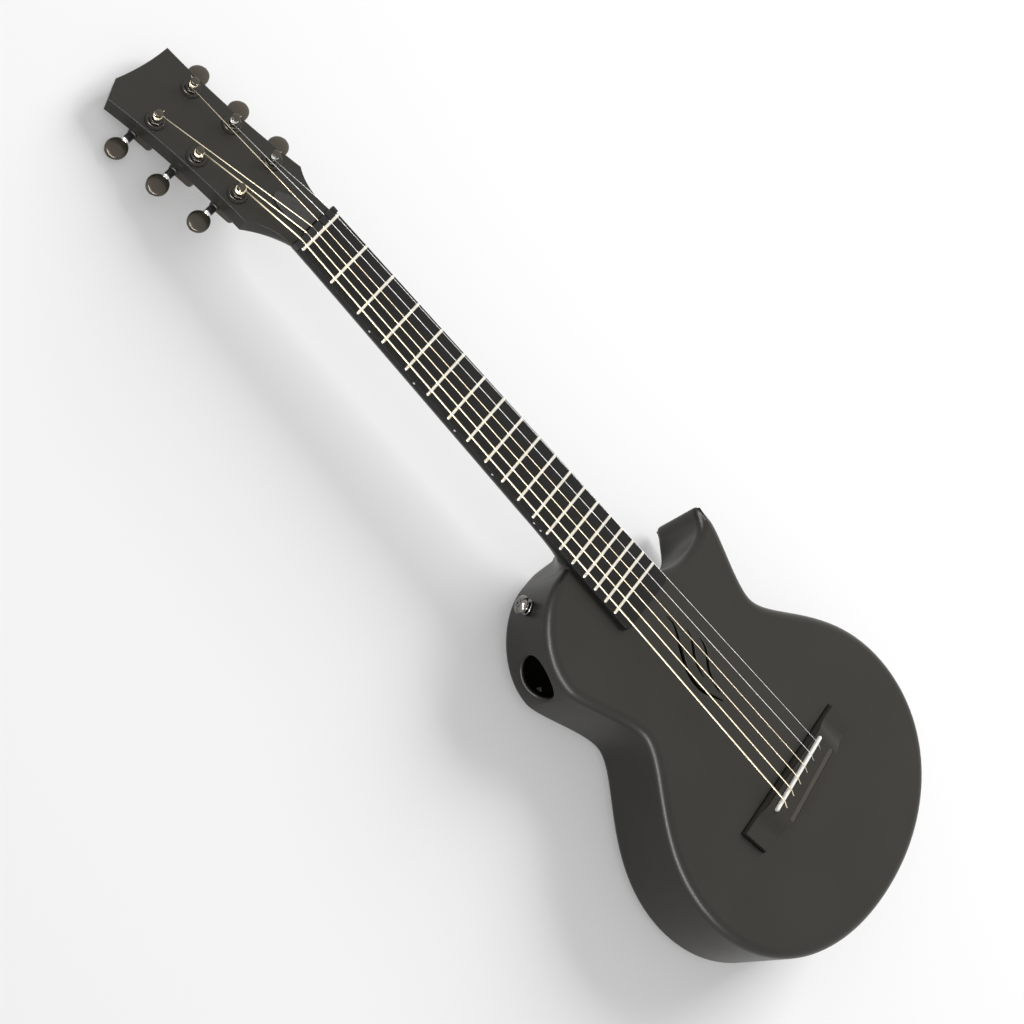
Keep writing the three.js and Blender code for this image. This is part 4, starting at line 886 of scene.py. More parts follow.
TUNERS = []
for number, name in enumerate(STRINGS):
    is_bass = number < 3
    rank = number if is_bass else 5 - number
    TUNERS.append(
        {
            "name": name,
            "number": number,
            "hand": -1 if is_bass else 1,
            "x": -POST_X if is_bass else POST_X,
            "v": FIRST_POST + POST_SPACING * rank,
            "diameter": DIAMETERS[number],
        }
    )


def body_shell():
    """Front, sides, neck and headstock, hollowed, with every hole."""
    shell = loft("body_skin", [*front_edge(), body_ring(BACK_WALL_SHARE, 0, seam_z)])
    room = WALL + CAVITY_EDGE
    ceiling = FRONT - WALL
    hollow = loft(
        "hollow",
        [
            *edge_rings(CAVITY_EDGE, WALL, WALL / DEPTH_AT_END, FRONT_WALL_SHARE,
                        lambda y, fall: ceiling - fall, room, 5),
            body_ring(BACK_WALL_SHARE, WALL, lambda y: seam_z(y) - 2, room),
        ],
    )
    combine(hollow, [block_box(0)])
    combine(shell, [hollow])
    neck = combine(neck_solid(), [crest_cutter()])
    combine(shell, [neck], "UNION")
    cutters = [slot_cutter(number) for number in range(len(SLOT_LINES))]
    cutters.append(port_cutter())
    for tuner in TUNERS:
        bore = rod_of("bore", POST_BORE, -HEAD_THICKNESS - 2, 2)
        cutters.append(
            moved(bore, HEAD_IN_PLAY @ Matrix.Translation((tuner["x"], tuner["v"], 0)))
        )
    half, far, depth = ROD_CHANNEL
    cutters.append(
        box_of("rod_channel", (-half, -far, FRONT - depth), (half, HEAD_START + 2, FRONT + 2))
    )
    half, setback, far, depth = NUT_POCKET
    near = BOARD_START + GAP + setback
    cutters.append(box_of("nut_pocket", (-half, near, -depth), (half, far, FRONT + 2)))
    for _, point, outward in STRAPS:
        hole = rod_of("hole", STRAP_HOLE[0], -STRAP_HOLE[1], 2)
        cutters.append(moved(hole, along_matrix(point, outward)))
    combine(shell, cutters)
    return creased(shell, 35, (FRONT_NORMAL, HEAD_NORMAL))


def back_tray():
    """The back with its rounded edge and the lip that fits inside the sides."""
    room = WALL + CAVITY_EDGE + LIP_THICKNESS

    def seam(y):
        return seam_z(y) - GAP

    def lip_ring(inset, height):
        return body_ring(BACK_WALL_SHARE, inset, height, room)

    def lip_top(y):
        return seam_z(y) + LIP_DEPTH

    def ground(y):
        return back_z(y) + WALL

    tray = loft("back_skin", [body_ring(BACK_WALL_SHARE, 0, seam), *back_edge()[::-1]])
    lip = loft("lip", [lip_ring(WALL + GAP, height) for height in (lip_top, ground)])
    inner = WALL + GAP + LIP_THICKNESS
    inside = loft(
        "inside", [lip_ring(inner, height) for height in (lambda y: lip_top(y) + 2, ground)],
    )
    combine(tray, [lip], "UNION")
    combine(tray, [inside])
    block = block_box(GAP)
    side, deep, past = PAST_BODY
    corners = ((-side, 0), (side, 0), (side, deep), (-side, deep))
    below = loft(
        "below",
        [[(x, y, seam(y) - drop) for x, drop in corners] for y in (TAIL - past, BODY_END + past)],
    )
    combine(block, [below])
    combine(tray, [block])
    return creased(tray, 35, (BACK_NORMAL,))


# Fretboard, frets and side dots


BOARD_CORNER = 5


def board():
    """The fretboard."""
    shape = [
        (-BOARD_HALF_AT_NUT, BOARD_START),
        (-board_half(BOARD_END), BOARD_END),
        (BOARD_HALF_AT_END, BOARD_END),
        (BOARD_HALF_AT_NUT, BOARD_START),
    ]
    line = softened(shape, BOARD_CORNER, 8)
    made = plate("board", line, rounded_top(BOARD_BOTTOM - 0.2, BOARD_TOP, 0.35))
    return creased(made, 35, (FRONT_NORMAL,))


FRET_WIDTHS = (3.3, 2.6)
FRET_SETBACK = 0.5
FRET_END_CROWN = 0.35


def fret(number):
    """A fret wire with a round crown and round ends."""
    y = fret_y(number)
    half = FRET_WIDTHS[min(number, 1)] / 2
    reach = board_half(y) - FRET_SETBACK
    foot = BOARD_TOP - 0.2
    crown = BOARD_TOP + GAP + 0.02
    arc = [(math.cos(a), math.sin(a)) for a in np.linspace(0, math.pi, 11)]
    stations = [(-reach + half * (1 - math.cos(a)), math.sin(a))
                for a in np.linspace(0.12, math.pi / 2, 6)]
    stations += [(-x, scale) for x, scale in reversed(stations)]
    rings = []
    for x, scale in stations:
        swell = lerp(FRET_END_CROWN, 1, scale)
        ring = [(x, y + half * scale * c, crown - crown * s * swell) for c, s in arc]
        rings.append([*ring, (x, y - half * scale, foot), (x, y + half * scale, foot)])
    return creased(loft(f"fret_wire_{number:02d}", rings), 50)


NUT_TOP = 1.4
NUT_ROUND = 1.2
STRING_ROOM = 0.1


def nut_bar():
    """The nut with its rounded head side and a slot for every string."""
    near, far = BOARD_START + GAP, BOARD_START + GAP + NUT_LENGTH
    profile = [(near, BOARD_BOTTOM + 0.02), (far, BOARD_BOTTOM + 0.02)]
    for angle in np.linspace(0, math.pi / 2, 6):
        profile.append((far - NUT_ROUND * (1 - math.cos(angle)),
                        NUT_TOP - NUT_ROUND * (1 - math.sin(angle))))
    profile.append((near, NUT_TOP))
    half = BOARD_HALF_AT_NUT
    bar = loft("nut_bar", [[(x, y, z) for y, z in profile] for x in (-half, half)])
    bevelled(bar, 0.2, 2, 40)
    for number, diameter in enumerate(DIAMETERS):
        room = diameter / 2 + STRING_ROOM
        x = string_x(number, near)
        slot = box_of("slot", (x - room, near - 1, 0.02), (x + room, far + 1, NUT_TOP + 1))
        combine(bar, [slot])
    return creased(bar, 40)


DOT_PLACES = (-78.5, -130.2, -177.9, -222.8, -273.1, -281.0)


DOT_HEIGHT = -3.2
DOT_PROFILE = ((0, -0.5), (1, -0.5), (1, 0.03), (0.9, 0.07), (0, 0.08))


def side_dots():
    """The small discs let into the board's bass side."""
    dots = []
    for y in DOT_PLACES:
        place = along_matrix(Vector((-board_half(y), y, DOT_HEIGHT)), (-1, 0, 0))
        dots.append(moved(turned("dot", DOT_PROFILE, 20), place))
    return dots


# Strings


def string_x(number, y):
    """Where a string lies across the board."""
    spread = lerp(SPREAD_AT_NUT, SPREAD_AT_SADDLE, -y / SCALE)
    return STRING_SHIFT + (number / 5 - 0.5) * spread


def saddle_y(x):
    """Where the slanting saddle lies under a string."""
    share = (x + SADDLE_BASS[0]) / (SADDLE_BASS[0] + SADDLE_TREBLE[0])
    return -SCALE - lerp(SADDLE_BASS[1], SADDLE_TREBLE[1], share)


def belly_line(steps=24):
    """The bridge's bulging rear edge, from the bass to the treble side."""
    half, wing, rear = BELLY_HALF, BRIDGE_FRONT - BRIDGE_WING_DEPTH, BRIDGE_FRONT - BRIDGE_DEPTH
    bulge = ((-half, wing), (-BELLY_PULL[0] * half, wing), (-BELLY_PULL[1] * half, rear), (0, rear))
    bass = curve_points(bulge, steps)
    mirrored = [(-x, y) for x, y in bass[::-1]]
    return [*map(tuple, bass), (0, rear), *mirrored]


def ball_place(x):
    """Where the ball at a string's end rests, inside the bridge's rear edge."""
    belly = np.array(belly_line())
    rear = float(np.interp(x, belly[:, 0], belly[:, 1]))
    return x, rear + BALL_SEAT[0], BOARD_BOTTOM + BALL_SEAT[1]


def over_nut(tuner):
    """Where a string leaves the nut."""
    y = BOARD_START + GAP + NUT_LENGTH
    return string_x(tuner["number"], y), y, NUT_STRING_Z + GAP + tuner["diameter"] / 2


def winding(tuner):
    """The string on its post, in the head's frame, and the direction of the post's hole."""
    radius = tuner["diameter"] / 2
    nut = HEAD_IN_PLAY.inverted() @ Vector(over_nut(tuner))
    local = ((nut.x - tuner["x"]) * tuner["hand"], nut.y - tuner["v"])
    coil = POST_WAIST + GAP * 0.4 + radius
    pitch = tuner["diameter"] + TURN_SPACING
    bend = radius + STRING_BEND
    start = math.atan2(local[1], local[0]) - math.acos(coil / math.hypot(*local))
    bend_angle = math.atan2(bend, coil)
    turns = TURNS[tuner["number"]]
    climb = turns - 0.5
    low = POST_HOLE - pitch * (climb + 1)
    points = []
    steps = round(40 * turns)
    for step in range(steps + 1):
        turn = turns * step / steps
        angle = start - 2 * math.pi * turn
        late = max(0, turn - climb) * 2
        around = lerp(coil, math.hypot(coil, bend), late**2)
        height = low + pitch * (min(turn, climb) + late)
        points.append((around * math.cos(angle), around * math.sin(angle), height))
    hole = start - 2 * math.pi * turns - bend_angle
    outward = np.array((math.cos(hole), math.sin(hole), 0))
    forward = np.array((math.sin(hole), -math.cos(hole), 0))
    for angle in quarter(8)[1:]:
        points.append(
            np.array((0, 0, POST_HOLE))
            + outward * (coil - bend * (1 - math.cos(angle)))
            - forward * bend * (1 - math.sin(angle))
        )
    points.append(np.array((0, 0, POST_HOLE)) - outward * (POST_RADIUS + STRING_TAIL))
    placed_points = [
        (tuner["x"] + x * tuner["hand"], tuner["v"] + y, z) for x, y, z in points
    ]
    return placed_points, hole


def tube(name, points, radius, sides=12):
    """A round wire through points, with the distance along it kept for its finish."""
    points = np.array(points, float)
    ways = unit(np.gradient(points, axis=0))
    normal = np.cross(ways[0], (0.3, 0.5, 0.81))
    verts, along = [], []
    for point, way, distance in zip(points, ways, distances(points)):
        normal = unit(normal - way * normal.dot(way))
        other = np.cross(way, normal)
        for angle in circle(sides):
            out = normal * math.cos(angle) + other * math.sin(angle)
            verts.append(tuple(point + radius * out))
            along.append(distance)
    mesh = bpy.data.meshes.new(name)
    mesh.from_pydata(verts, [], ring_faces(len(points), sides))
    mesh.attributes.new("along", "FLOAT", "POINT").data.foreach_set("value", along)
    mesh.shade_smooth()
    return linked(name, mesh)


def string_parts(tuner):
    """The string from its ball to its post, its turns, the ball's place and the hole's turn."""
    name, radius = tuner["name"], tuner["diameter"] / 2
    wound, hole = winding(tuner)
    x = string_x(tuner["number"], -SCALE)
    rest = np.array((x, saddle_y(x), SADDLE_TOP + radius + STRING_LIFT))
    ball = np.array(ball_place(x))
    corners = [
        ball,
        rest + (0, -HOLE_SETBACK, BRIDGE_TOP - HOLE_DROP - rest[2]),
        rest,
        (string_x(tuner["number"], 0), 0, radius + STRING_LIFT),
        over_nut(tuner),
        tuple(HEAD_IN_PLAY @ Vector(wound[0])),
    ]
    span = tube(f"{name}_span", softened(corners, 1.6, 5), radius)
    return span, tube(f"{name}_winding", wound, radius, 10), ball, hole


# Bridge and saddle


def saddle_outline(room):
    """The saddle seen from the front, with some room round it."""
    bass = np.array((-SADDLE_BASS[0], saddle_y(-SADDLE_BASS[0])))
    treble = np.array((SADDLE_TREBLE[0], saddle_y(SADDLE_TREBLE[0])))
    way = unit(treble - bass)
    half = SADDLE_THICKNESS / 2
    return stadium(bass + way * half, treble - way * half, half + room)


def stadium(start, end, half, steps=10):
    """A long outline with round ends, counterclockwise."""
    way = unit(end - start)
    turn = math.atan2(way[1], way[0])
    ring = []
    for centre, base in ((end, turn - math.pi / 2), (start, turn + math.pi / 2)):
        for k in range(steps + 1):
            angle = base + math.pi * k / steps
            ring.append(centre + half * np.array((math.cos(angle), math.sin(angle))))
    return ring


GROOVE = (np.array((-34, -SCALE - 24.5)), np.array((38.2, -SCALE - 18.9)))


def bridge_strip():
    """The lighter strip laid in the groove behind the strings' holes."""
    levels = rounded_top(BRIDGE_TOP - GROOVE_DEPTH + 0.02, BRIDGE_TOP - 0.3, 0.12)
    strip = plate("bridge_strip", stadium(*GROOVE, GROOVE_HALF - 0.15), levels)
    return creased(strip, 35, (FRONT_NORMAL,))


def bridge_outline(front):
    """The bridge seen from the front, its long edge at a given place."""
    wing = BRIDGE_FRONT - BRIDGE_WING_DEPTH
    return [
        (-BRIDGE_BASS, front), (-BRIDGE_BASS + BRIDGE_CORNER, wing), *belly_line(),
        (BRIDGE_TREBLE - BRIDGE_CORNER, wing), (BRIDGE_TREBLE, front),
    ]


def bridge_shadow_line():
    """The thin dark line round the bridge's foot, a painted shadow where the bridge meets the
    front.
    """
    levels = [(FRONT - 0.1, -1.0), (FRONT + 0.15, -0.9)]
    return creased(plate("bridge_shadow_line", bridge_outline(BRIDGE_FRONT), levels), 35)


def string_hole_cutters(tuner):
    """The slanted hole of a string, its wider mouth and the seat of its ball."""
    x = string_x(tuner["number"], -SCALE)
    rest = Vector((x, saddle_y(x), 0))
    entry = Vector((x, rest.y - HOLE_SETBACK, BRIDGE_TOP - HOLE_DROP))
    ball = Vector(ball_place(x))
    way = ball - entry
    wide = tuner["diameter"] / 2 + 0.35
    mouth = turned(
        "mouth",
        [(0, -3), (wide, -3), (wide, 0.35), (wide + 0.35, 0.7), (wide + 0.35, 3), (0, 3)], 16,
    )
    return [
        moved(rod_of("hole", wide, -0.5, way.length, 16), along_matrix(entry, way)),
        moved(mouth, Matrix.Translation((x, entry.y - 0.3, BRIDGE_TOP - 0.7))),
        moved(rod_of("ball_seat", 2.6, -6, 2, 16), along_matrix(ball, -way)),
    ]


def bridge():
    """The bridge with its ramps, saddle seat, groove and string holes."""
    base, wing_top = BOARD_BOTTOM - 0.2, BOARD_BOTTOM + BRIDGE_WING
    bass, treble = -BRIDGE_BASS - 1, BRIDGE_TREBLE + 1
    inner, outer = BRIDGE_RAMP
    top_line = softened(
        [(bass, wing_top), (-outer, wing_top), (-inner, BRIDGE_TOP),
         (inner, BRIDGE_TOP), (outer, wing_top), (treble, wing_top)],
        5, 8,
    )
    profile = [(bass, base), (treble, base), *top_line[::-1]]
    rise = loft(
        "rise",
        [[(x, y, z) for x, z in profile]
         for y in (BRIDGE_FRONT + 2, BRIDGE_FRONT - BRIDGE_DEPTH - 2)],
    )
    rings = []
    for z in (base - 1, BRIDGE_TOP + 1):
        front = BRIDGE_FRONT - BRIDGE_LEAN * (z - base) / BRIDGE_THICKNESS
        rings.append([(x, y, z) for x, y in bridge_outline(front)])
    block = combine(loft("bridge_block", rings), [rise], "INTERSECT")
    bevelled(block, 0.55, 3, 30)
    seat_levels = [(BRIDGE_TOP - SADDLE_SEAT, 0), (BRIDGE_TOP + 3, 0)]
    groove_levels = [(BRIDGE_TOP - GROOVE_DEPTH, 0), (BRIDGE_TOP - 0.2, 0), (BRIDGE_TOP, -0.2),
                     (BRIDGE_TOP + 2, -0.3)]
    cutters = [
        plate("seat", saddle_outline(0.12), seat_levels),
        plate("groove", stadium(*GROOVE, GROOVE_HALF), groove_levels),
    ]
    for tuner in TUNERS:
        cutters += string_hole_cutters(tuner)
    for cutter in cutters:
        combine(block, [cutter])
    return creased(block, 30, (FRONT_NORMAL,))


def saddle():
    """The saddle bar with its rounded crest."""
    rise, draw = SADDLE_ROUND
    levels = [(BRIDGE_TOP - SADDLE_SEAT + 0.2, 0)]
    for angle in quarter(6):
        levels.append((SADDLE_TOP - rise + rise * math.sin(angle), draw * (1 - math.cos(angle))))
    return creased(plate("saddle_bar", saddle_outline(0), levels), 60)


# Cover, strap buttons and tuners


COVER_HALF = 8.6
COVER_END = 36.2
COVER_SHIFT = 0.7
COVER_STRAIGHT = 12
COVER_TIP_HALF = 2.2


def rod_cover():
    """The truss rod's cover: straight sides that draw in to a round tip."""
    side, end, shift = COVER_HALF, COVER_END, COVER_SHIFT
    foot, shoulder = (side, COVER_STRAIGHT), (side, end - side)
    tip = (COVER_TIP_HALF, end - 0.3)

    def bent(start, control, stop, t):
        return [lerp(lerp(a, b, t), lerp(b, c, t), t) for a, b, c in zip(start, control, stop)]

    right = [bent(foot, shoulder, tip, t) for t in np.linspace(0.1, 1, 10)]
    left = [bent(tip, shoulder, foot, t) for t in np.linspace(0, 0.9, 10)]
    corners = [(shift - side, COVER_STRAIGHT), (shift - side, -0.2), (shift + side, -0.2),
               (shift + side, COVER_STRAIGHT)]
    last = (shift - left[-1][0], left[-1][1])
    line = [
        *softened([last, *corners], 2.4, 6)[1:-1],
        *((shift + x, y) for x, y in right),
        (shift, end - 0.05),
        *((shift - x, y) for x, y in left[:-1]),
    ]
    return creased(plate("cover_plate", line, rounded_top(0.05, 1.8, 0.6, 4)), 35, (FRONT_NORMAL,))


STRAP_PROFILE = (
    (0, 0), (6.7, 0), (6.7, 1.4), (4.2, 2.4), (4, 4.4), (7.9, 5), (7.6, 7.6), (5.6, 9.6),
    (4.1, 9.9), (3.4, 9.3), (0, 9.3),
)
STRAP_SCREW_PROFILE = (
    (0, -9), (0.6, -9), (2, -7), (2, 9.2), (3.1, 9.35), (3.1, 9.7), (2.6, 10.15), (1.4, 10.4),
    (0, 10.45),
)


def strap_parts():
    """Flange and waist, domed head and screw of a strap button, about its own axis."""
    button = turned("button", softened(STRAP_PROFILE, 0.9, 5), 48)
    screw = turned("screw", STRAP_SCREW_PROFILE, 32)
    cross = [box_of("cross", (-x, -y, 9.3), (x, y, 12)) for x, y in ((2.1, 0.42), (0.42, 2.1))]
    combine(screw, cross)
    return creased(button, 40), creased(screw, 35)


WASHER_PROFILE = (
    (BUSHING_BORE, -8), (3.9, -8), (3.9, 0.02), (8.1, 0.02), (8.3, 0.2), (8.3, 0.65), (8.1, 0.95),
    (7.75, 1.0), (7.45, 0.8), (7.2, 0.7), (6.9, 0.75), (6.3, 1.0), (6.1, 1.3), (5.9, 1.38),
    (5.6, 1.3), (BUSHING_BORE, 1.3), (BUSHING_BORE, -8),
)
COLLAR_PROFILE = ((0, 3.3), (4.3, 3.3), (4.3, 3.6), (4.05, 3.8), (0, 3.8))
HEXAGON_HALF = 5
HEXAGON_LEVELS = ((1, 1.2), (1, 3.1), (0.93, 3.5))


def bushing_parts():
    """The stepped washer on the head's face and the hexagon round the post."""
    washer = turned("washer", WASHER_PROFILE, 48)
    corner = HEXAGON_HALF / math.cos(math.pi / 6)
    turns = [math.pi * k / 3 for k in range(6)]
    nut = loft(
        "hexagon",
        [[(corner * scale * math.cos(a), corner * scale * math.sin(a), z) for a in turns]
         for scale, z in HEXAGON_LEVELS],
    )
    combine(nut, [turned("collar", COLLAR_PROFILE, 32)], "UNION")
    combine(nut, [rod_of("bore", BUSHING_BORE, 0, 5)])
    return creased(washer, 40), creased(nut, 30)


POST_NECK = 4.1
POST_HOLE_RADIUS = 0.95
POST_PROFILE = (
    (0, -23.3), (POST_RADIUS, -23.3), (POST_RADIUS, POST_NECK), (2.9, POST_NECK + 0.2),
    (POST_WAIST, POST_NECK + 0.7), (POST_WAIST, 10.3), (2.7, 10.5),
)
CAP_PROFILE = (
    (0, 10.45), (3.0, 10.45), (POST_CAP, 10.65), (POST_CAP, 11.05), (3.15, 11.35), (2.7, 11.62),
    (2.0, 11.82), (1.1, 11.95), (0, 12),
)


def post_parts(hole_angle):
    """The post with its worm wheel and string hole, and its cap."""
    shaft = turned("shaft", POST_PROFILE)
    cap = turned("cap", CAP_PROFILE)
    direction = (math.cos(hole_angle), math.sin(hole_angle), 0)
    hole = rod_of("hole", POST_HOLE_RADIUS, -6, 6, 16)
    combine(shaft, [wheel()], "UNION")
    combine(shaft, [moved(hole, along_matrix(Vector((0, 0, POST_HOLE)), direction))])
    return creased(shaft, 35), creased(cap, 40)


PITCH = 2 * math.pi * WHEEL_RADIUS / WHEEL_TEETH
FLANK = math.tan(math.radians(20))
TOOTH_HALF = (PITCH - BACKLASH) / 4
TIP_HALF = TOOTH_HALF - ADDENDUM * FLANK
ROOT_HALF = TOOTH_HALF + DEDENDUM * FLANK
WORM_HALF = PITCH * 1.5
TO_X = Matrix.Rotation(math.pi / 2, 4, "Y")


def wheel():
    """The worm wheel, one tooth of which points straight at the worm."""
    lead = math.atan2(PITCH, 2 * math.pi * WORM_RADIUS)
    twist = math.tan(lead) / WHEEL_RADIUS * WHEEL_HALF * 2
    root, tip = WHEEL_RADIUS - DEDENDUM, WHEEL_RADIUS + ADDENDUM
    corners = ((root, -ROOT_HALF), (tip, -TIP_HALF), (tip, TIP_HALF), (root, ROOT_HALF))
    rings = []
    for z, turn in ((-WORM_DEPTH - WHEEL_HALF, -twist / 2), (-WORM_DEPTH + WHEEL_HALF, twist / 2)):
        ring = []
        for tooth in range(WHEEL_TEETH):
            middle = math.pi / 2 + 2 * math.pi * tooth / WHEEL_TEETH + turn
            for radius, half in corners:
                angle = middle + half / radius
                ring.append((radius * math.cos(angle), radius * math.sin(angle), z))
        rings.append(ring)
    return loft("wheel", rings)


def worm():
    """A round core with one thread wound on it, about z."""
    root, tip = WORM_RADIUS - DEDENDUM, WORM_RADIUS + ADDENDUM
    foot = root - DEDENDUM
    thread = ((foot, -ROOT_HALF), (root, -ROOT_HALF), (tip, -TIP_HALF), (tip, TIP_HALF),
              (root, ROOT_HALF), (foot, ROOT_HALF))
    reach = WORM_HALF + PITCH
    per_turn = 16
    steps = math.ceil(2 * reach / PITCH) * per_turn
    rings = []
    for step in range(steps + 1):
        turn = (step - steps / 2) / per_turn
        angle = 2 * math.pi * (turn + 0.25)
        rings.append(
            [(radius * math.cos(angle), radius * math.sin(angle), PITCH * turn + half)
             for radius, half in thread]
        )
    core = rod_of("core", root, -reach, reach, 24)
    combine(core, [loft("thread", rings)], "UNION")
    return combine(core, [rod_of("length", 6, -WORM_HALF, WORM_HALF, 24)], "INTERSECT")


def knob_parts():
    """Shaft with worm, bright ring, oval domed knob and end screw, along the x axis."""
    shaft = rod_of("shaft", KNOB_SHAFT, -WORM_HALF - SHAFT_PAST_WORM, SLEEVE_END + 2, 24)
    combine(shaft, [worm()], "UNION")
    ring_line = [(0, 0.15), (3.7, 0.15), (3.9, 1.0), (3.4, 1.8), (3.2, 3), (0, 3)]
    ring_line = softened([(radius, SLEEVE_END + z) for radius, z in ring_line], 0.4, 3)
    ring = turned("ring", ring_line)
    length, width, thickness = KNOB_SIZE
    rim = KNOB_RIM / 2
    rise = thickness / 2 - rim
    radius = width / 2
    upper = [(radius * math.sin(a), rim + rise * math.cos(a))
             for a in np.linspace(0, math.pi / 2 - 0.16, 10)]
    half = upper + [(radius * 0.995, rim - 0.05), (radius, rim * 0.55), (radius, 0)]
    knob = turned("knob", half + [(r, -z) for r, z in reversed(half[:-1])], 56)
    stretch = Matrix.Diagonal((length / width, 1, 1, 1))
    moved(knob, Matrix.Translation((KNOB_MIDDLE, 0, 0)) @ stretch)
    screw = turned("screw", [(0, -1), (1.35, -1), (1.35, 0.1), (1.1, 0.25), (0, 0.3)], 20)
    combine(screw, [box_of("slit", (-2, -0.2, 0.05), (2, 0.2, 1))])
    moved(screw, Matrix.Translation((KNOB_MIDDLE + length / 2, 0, 0)) @ TO_X)
    moved(shaft, TO_X)
    moved(ring, TO_X)
    return creased(shaft, 35), creased(ring, 50), creased(knob, 24), creased(screw, 35)


def housing_parts():
    """The worm's housing with its sleeve, in the tuner's frame."""
    reach = WORM_HALF + SHAFT_PAST_WORM + GAP + CASE_WALL
    inside = max(WHEEL_RADIUS + ADDENDUM + CASE_ROOM, WORM_HALF + SHAFT_PAST_WORM + GAP)
    half = inside + CASE_WALL
    near = -WHEEL_RADIUS - ADDENDUM - CASE_ROOM - CASE_WALL
    far = WORM_Y + WORM_RADIUS + ADDENDUM + CASE_ROOM + CASE_WALL
    bottom = -WORM_DEPTH - WORM_RADIUS - ADDENDUM - CASE_ROOM - CASE_WALL + BOX_ROOM
    top = -HEAD_THICKNESS - 0.05
    corners = [(-half, near), (half, near), (half, far), (-half, far)]
    levels = [(top, 0)]
    for angle in quarter(5):
        levels.append((bottom + CASE_ROUND - CASE_ROUND * math.sin(angle),
                       CASE_ROUND * (1 - math.cos(angle))))
    case = plate("case", softened_ring(corners, CASE_CORNER, 8), levels)
    side = WORM_HALF + CASE_ROOM
    low, high = (-side, 0, bottom + CASE_WALL), (side, far - CASE_WALL, top + 2)
    combine(case, [rod_of("wheel_space", 7.2, -23.6, top + 2)])
    combine(case, [box_of("worm_space", low, high)])
    axis = Matrix.Translation((0, WORM_Y, -WORM_DEPTH)) @ TO_X
    sleeve_line = [
        (SLEEVE_BORE, half - 0.5), (4.1, half - 0.5), (4.1, half + 0.7), (3.3, half + 1.3),
        (3.3, SLEEVE_END - 0.3), (3.0, SLEEVE_END), (SLEEVE_BORE, SLEEVE_END),
        (SLEEVE_BORE, half - 0.5),
    ]
    sleeve = moved(turned("sleeve", softened(sleeve_line, 0.3, 2), 36), axis)
    bore = rod_of("bore", SLEEVE_BORE, -reach + 1, half + 3, 24)
    combine(case, [moved(bore, axis)])
    return creased(case, 35), creased(sleeve, 40)


# Finishes


def feed(tree, socket, value):
    """Gives an input its value, or links it to another node's socket."""
    if isinstance(value, bpy.types.NodeSocket):
        tree.links.new(value, socket)
    else:
        socket.default_value = value


def node(tree, kind, settings=None, **inputs):
    """A node with its settings and its inputs, each a value or another node's socket."""
    made = tree.nodes.new("ShaderNode" + kind)
    for key, value in (settings or {}).items():
        setattr(made, key, value)
    for key, value in inputs.items():
        feed(tree, made.inputs[key.replace("_", " ")], value)
    return made


def maths(tree, operation, *values):
    """The result of a sum on values or sockets."""
    made = node(tree, "Math", {"operation": operation})
    for socket, value in zip(made.inputs, values):
        feed(tree, socket, value)
    return made.outputs[0]


def colour_mix(tree, factor, one, two):
    """Two colours mixed by a factor."""
    made = node(tree, "Mix", {"data_type": "RGBA"})
    for number, value in ((0, factor), (6, one), (7, two)):
        feed(tree, made.inputs[number], value)
    return made.outputs[2]


def spread(tree, value, low, high, start=0.3, stop=0.7):
    """A masked value spread over a range."""
    return node(tree, "MapRange", None, Value=value, From_Min=start, From_Max=stop,
                To_Min=low, To_Max=high).outputs[0]


def group_of(name, inputs, outputs):
    """An empty effect with its named inputs and outputs."""
    tree = bpy.data.node_groups.new(name, "ShaderNodeTree")
    for label, kind, value in inputs:
        socket = tree.interface.new_socket(label, in_out="INPUT", socket_type="NodeSocket" + kind)
        if value is not None:
            socket.default_value = value
    for label, kind in outputs:
        tree.interface.new_socket(label, in_out="OUTPUT", socket_type="NodeSocket" + kind)
    return tree, tree.nodes.new("NodeGroupInput").outputs, tree.nodes.new("NodeGroupOutput").inputs


BUMP_REACH = 0.0001


def mould_grain():
    """Fine spark-eroded mould texture with faint patches of tone."""
    tree, given, result = group_of(
        "mould grain",
        [("Place", "Vector", None), ("Grain", "Float", 900.0), ("Patches", "Float", 14.0),
         ("Depth", "Float", 0.3)],
        [("Tone", "Float"), ("Patch", "Float"), ("Normal", "Vector")],
    )
    fine = node(tree, "TexNoise", None, Vector=given["Place"], Scale=given["Grain"], Detail=3.0,
                Roughness=0.6)
    wide = node(tree, "TexNoise", None, Vector=given["Place"], Scale=given["Patches"], Detail=4.0)
    bump = node(tree, "Bump", None, Strength=given["Depth"], Distance=BUMP_REACH,
                Height=fine.outputs["Fac"])
    feed(tree, result["Tone"], fine.outputs["Fac"])
    feed(tree, result["Patch"], wide.outputs["Fac"])
    feed(tree, result["Normal"], bump.outputs["Normal"])
    return tree


def handling():
    """Faint smudges and hairlines of a surface that hands touch."""
    tree, given, result = group_of(
        "handling",
        [("Place", "Vector", None), ("Smudges", "Float", 60.0), ("Hairlines", "Float", 500.0)],
        [("Smudge", "Float"), ("Hairline", "Float"), ("Normal", "Vector")],
    )
    smudge = node(tree, "TexNoise", None, Vector=given["Place"], Scale=given["Smudges"],
                  Detail=5.0)
    stretched = node(tree, "VectorMath", {"operation": "MULTIPLY"})
    feed(tree, stretched.inputs[0], given["Place"])
    feed(tree, stretched.inputs[1], (1, 0.06, 1))
    hair = node(tree, "TexNoise", None, Vector=stretched.outputs[0], Scale=given["Hairlines"],
                Detail=2.0)
    bump = node(tree, "Bump", None, Strength=0.04, Distance=BUMP_REACH, Height=hair.outputs["Fac"])
    feed(tree, result["Smudge"], smudge.outputs["Fac"])
    feed(tree, result["Hairline"], hair.outputs["Fac"])
    feed(tree, result["Normal"], bump.outputs["Normal"])
    return tree


GRAIN = mould_grain()
HANDLING = handling()


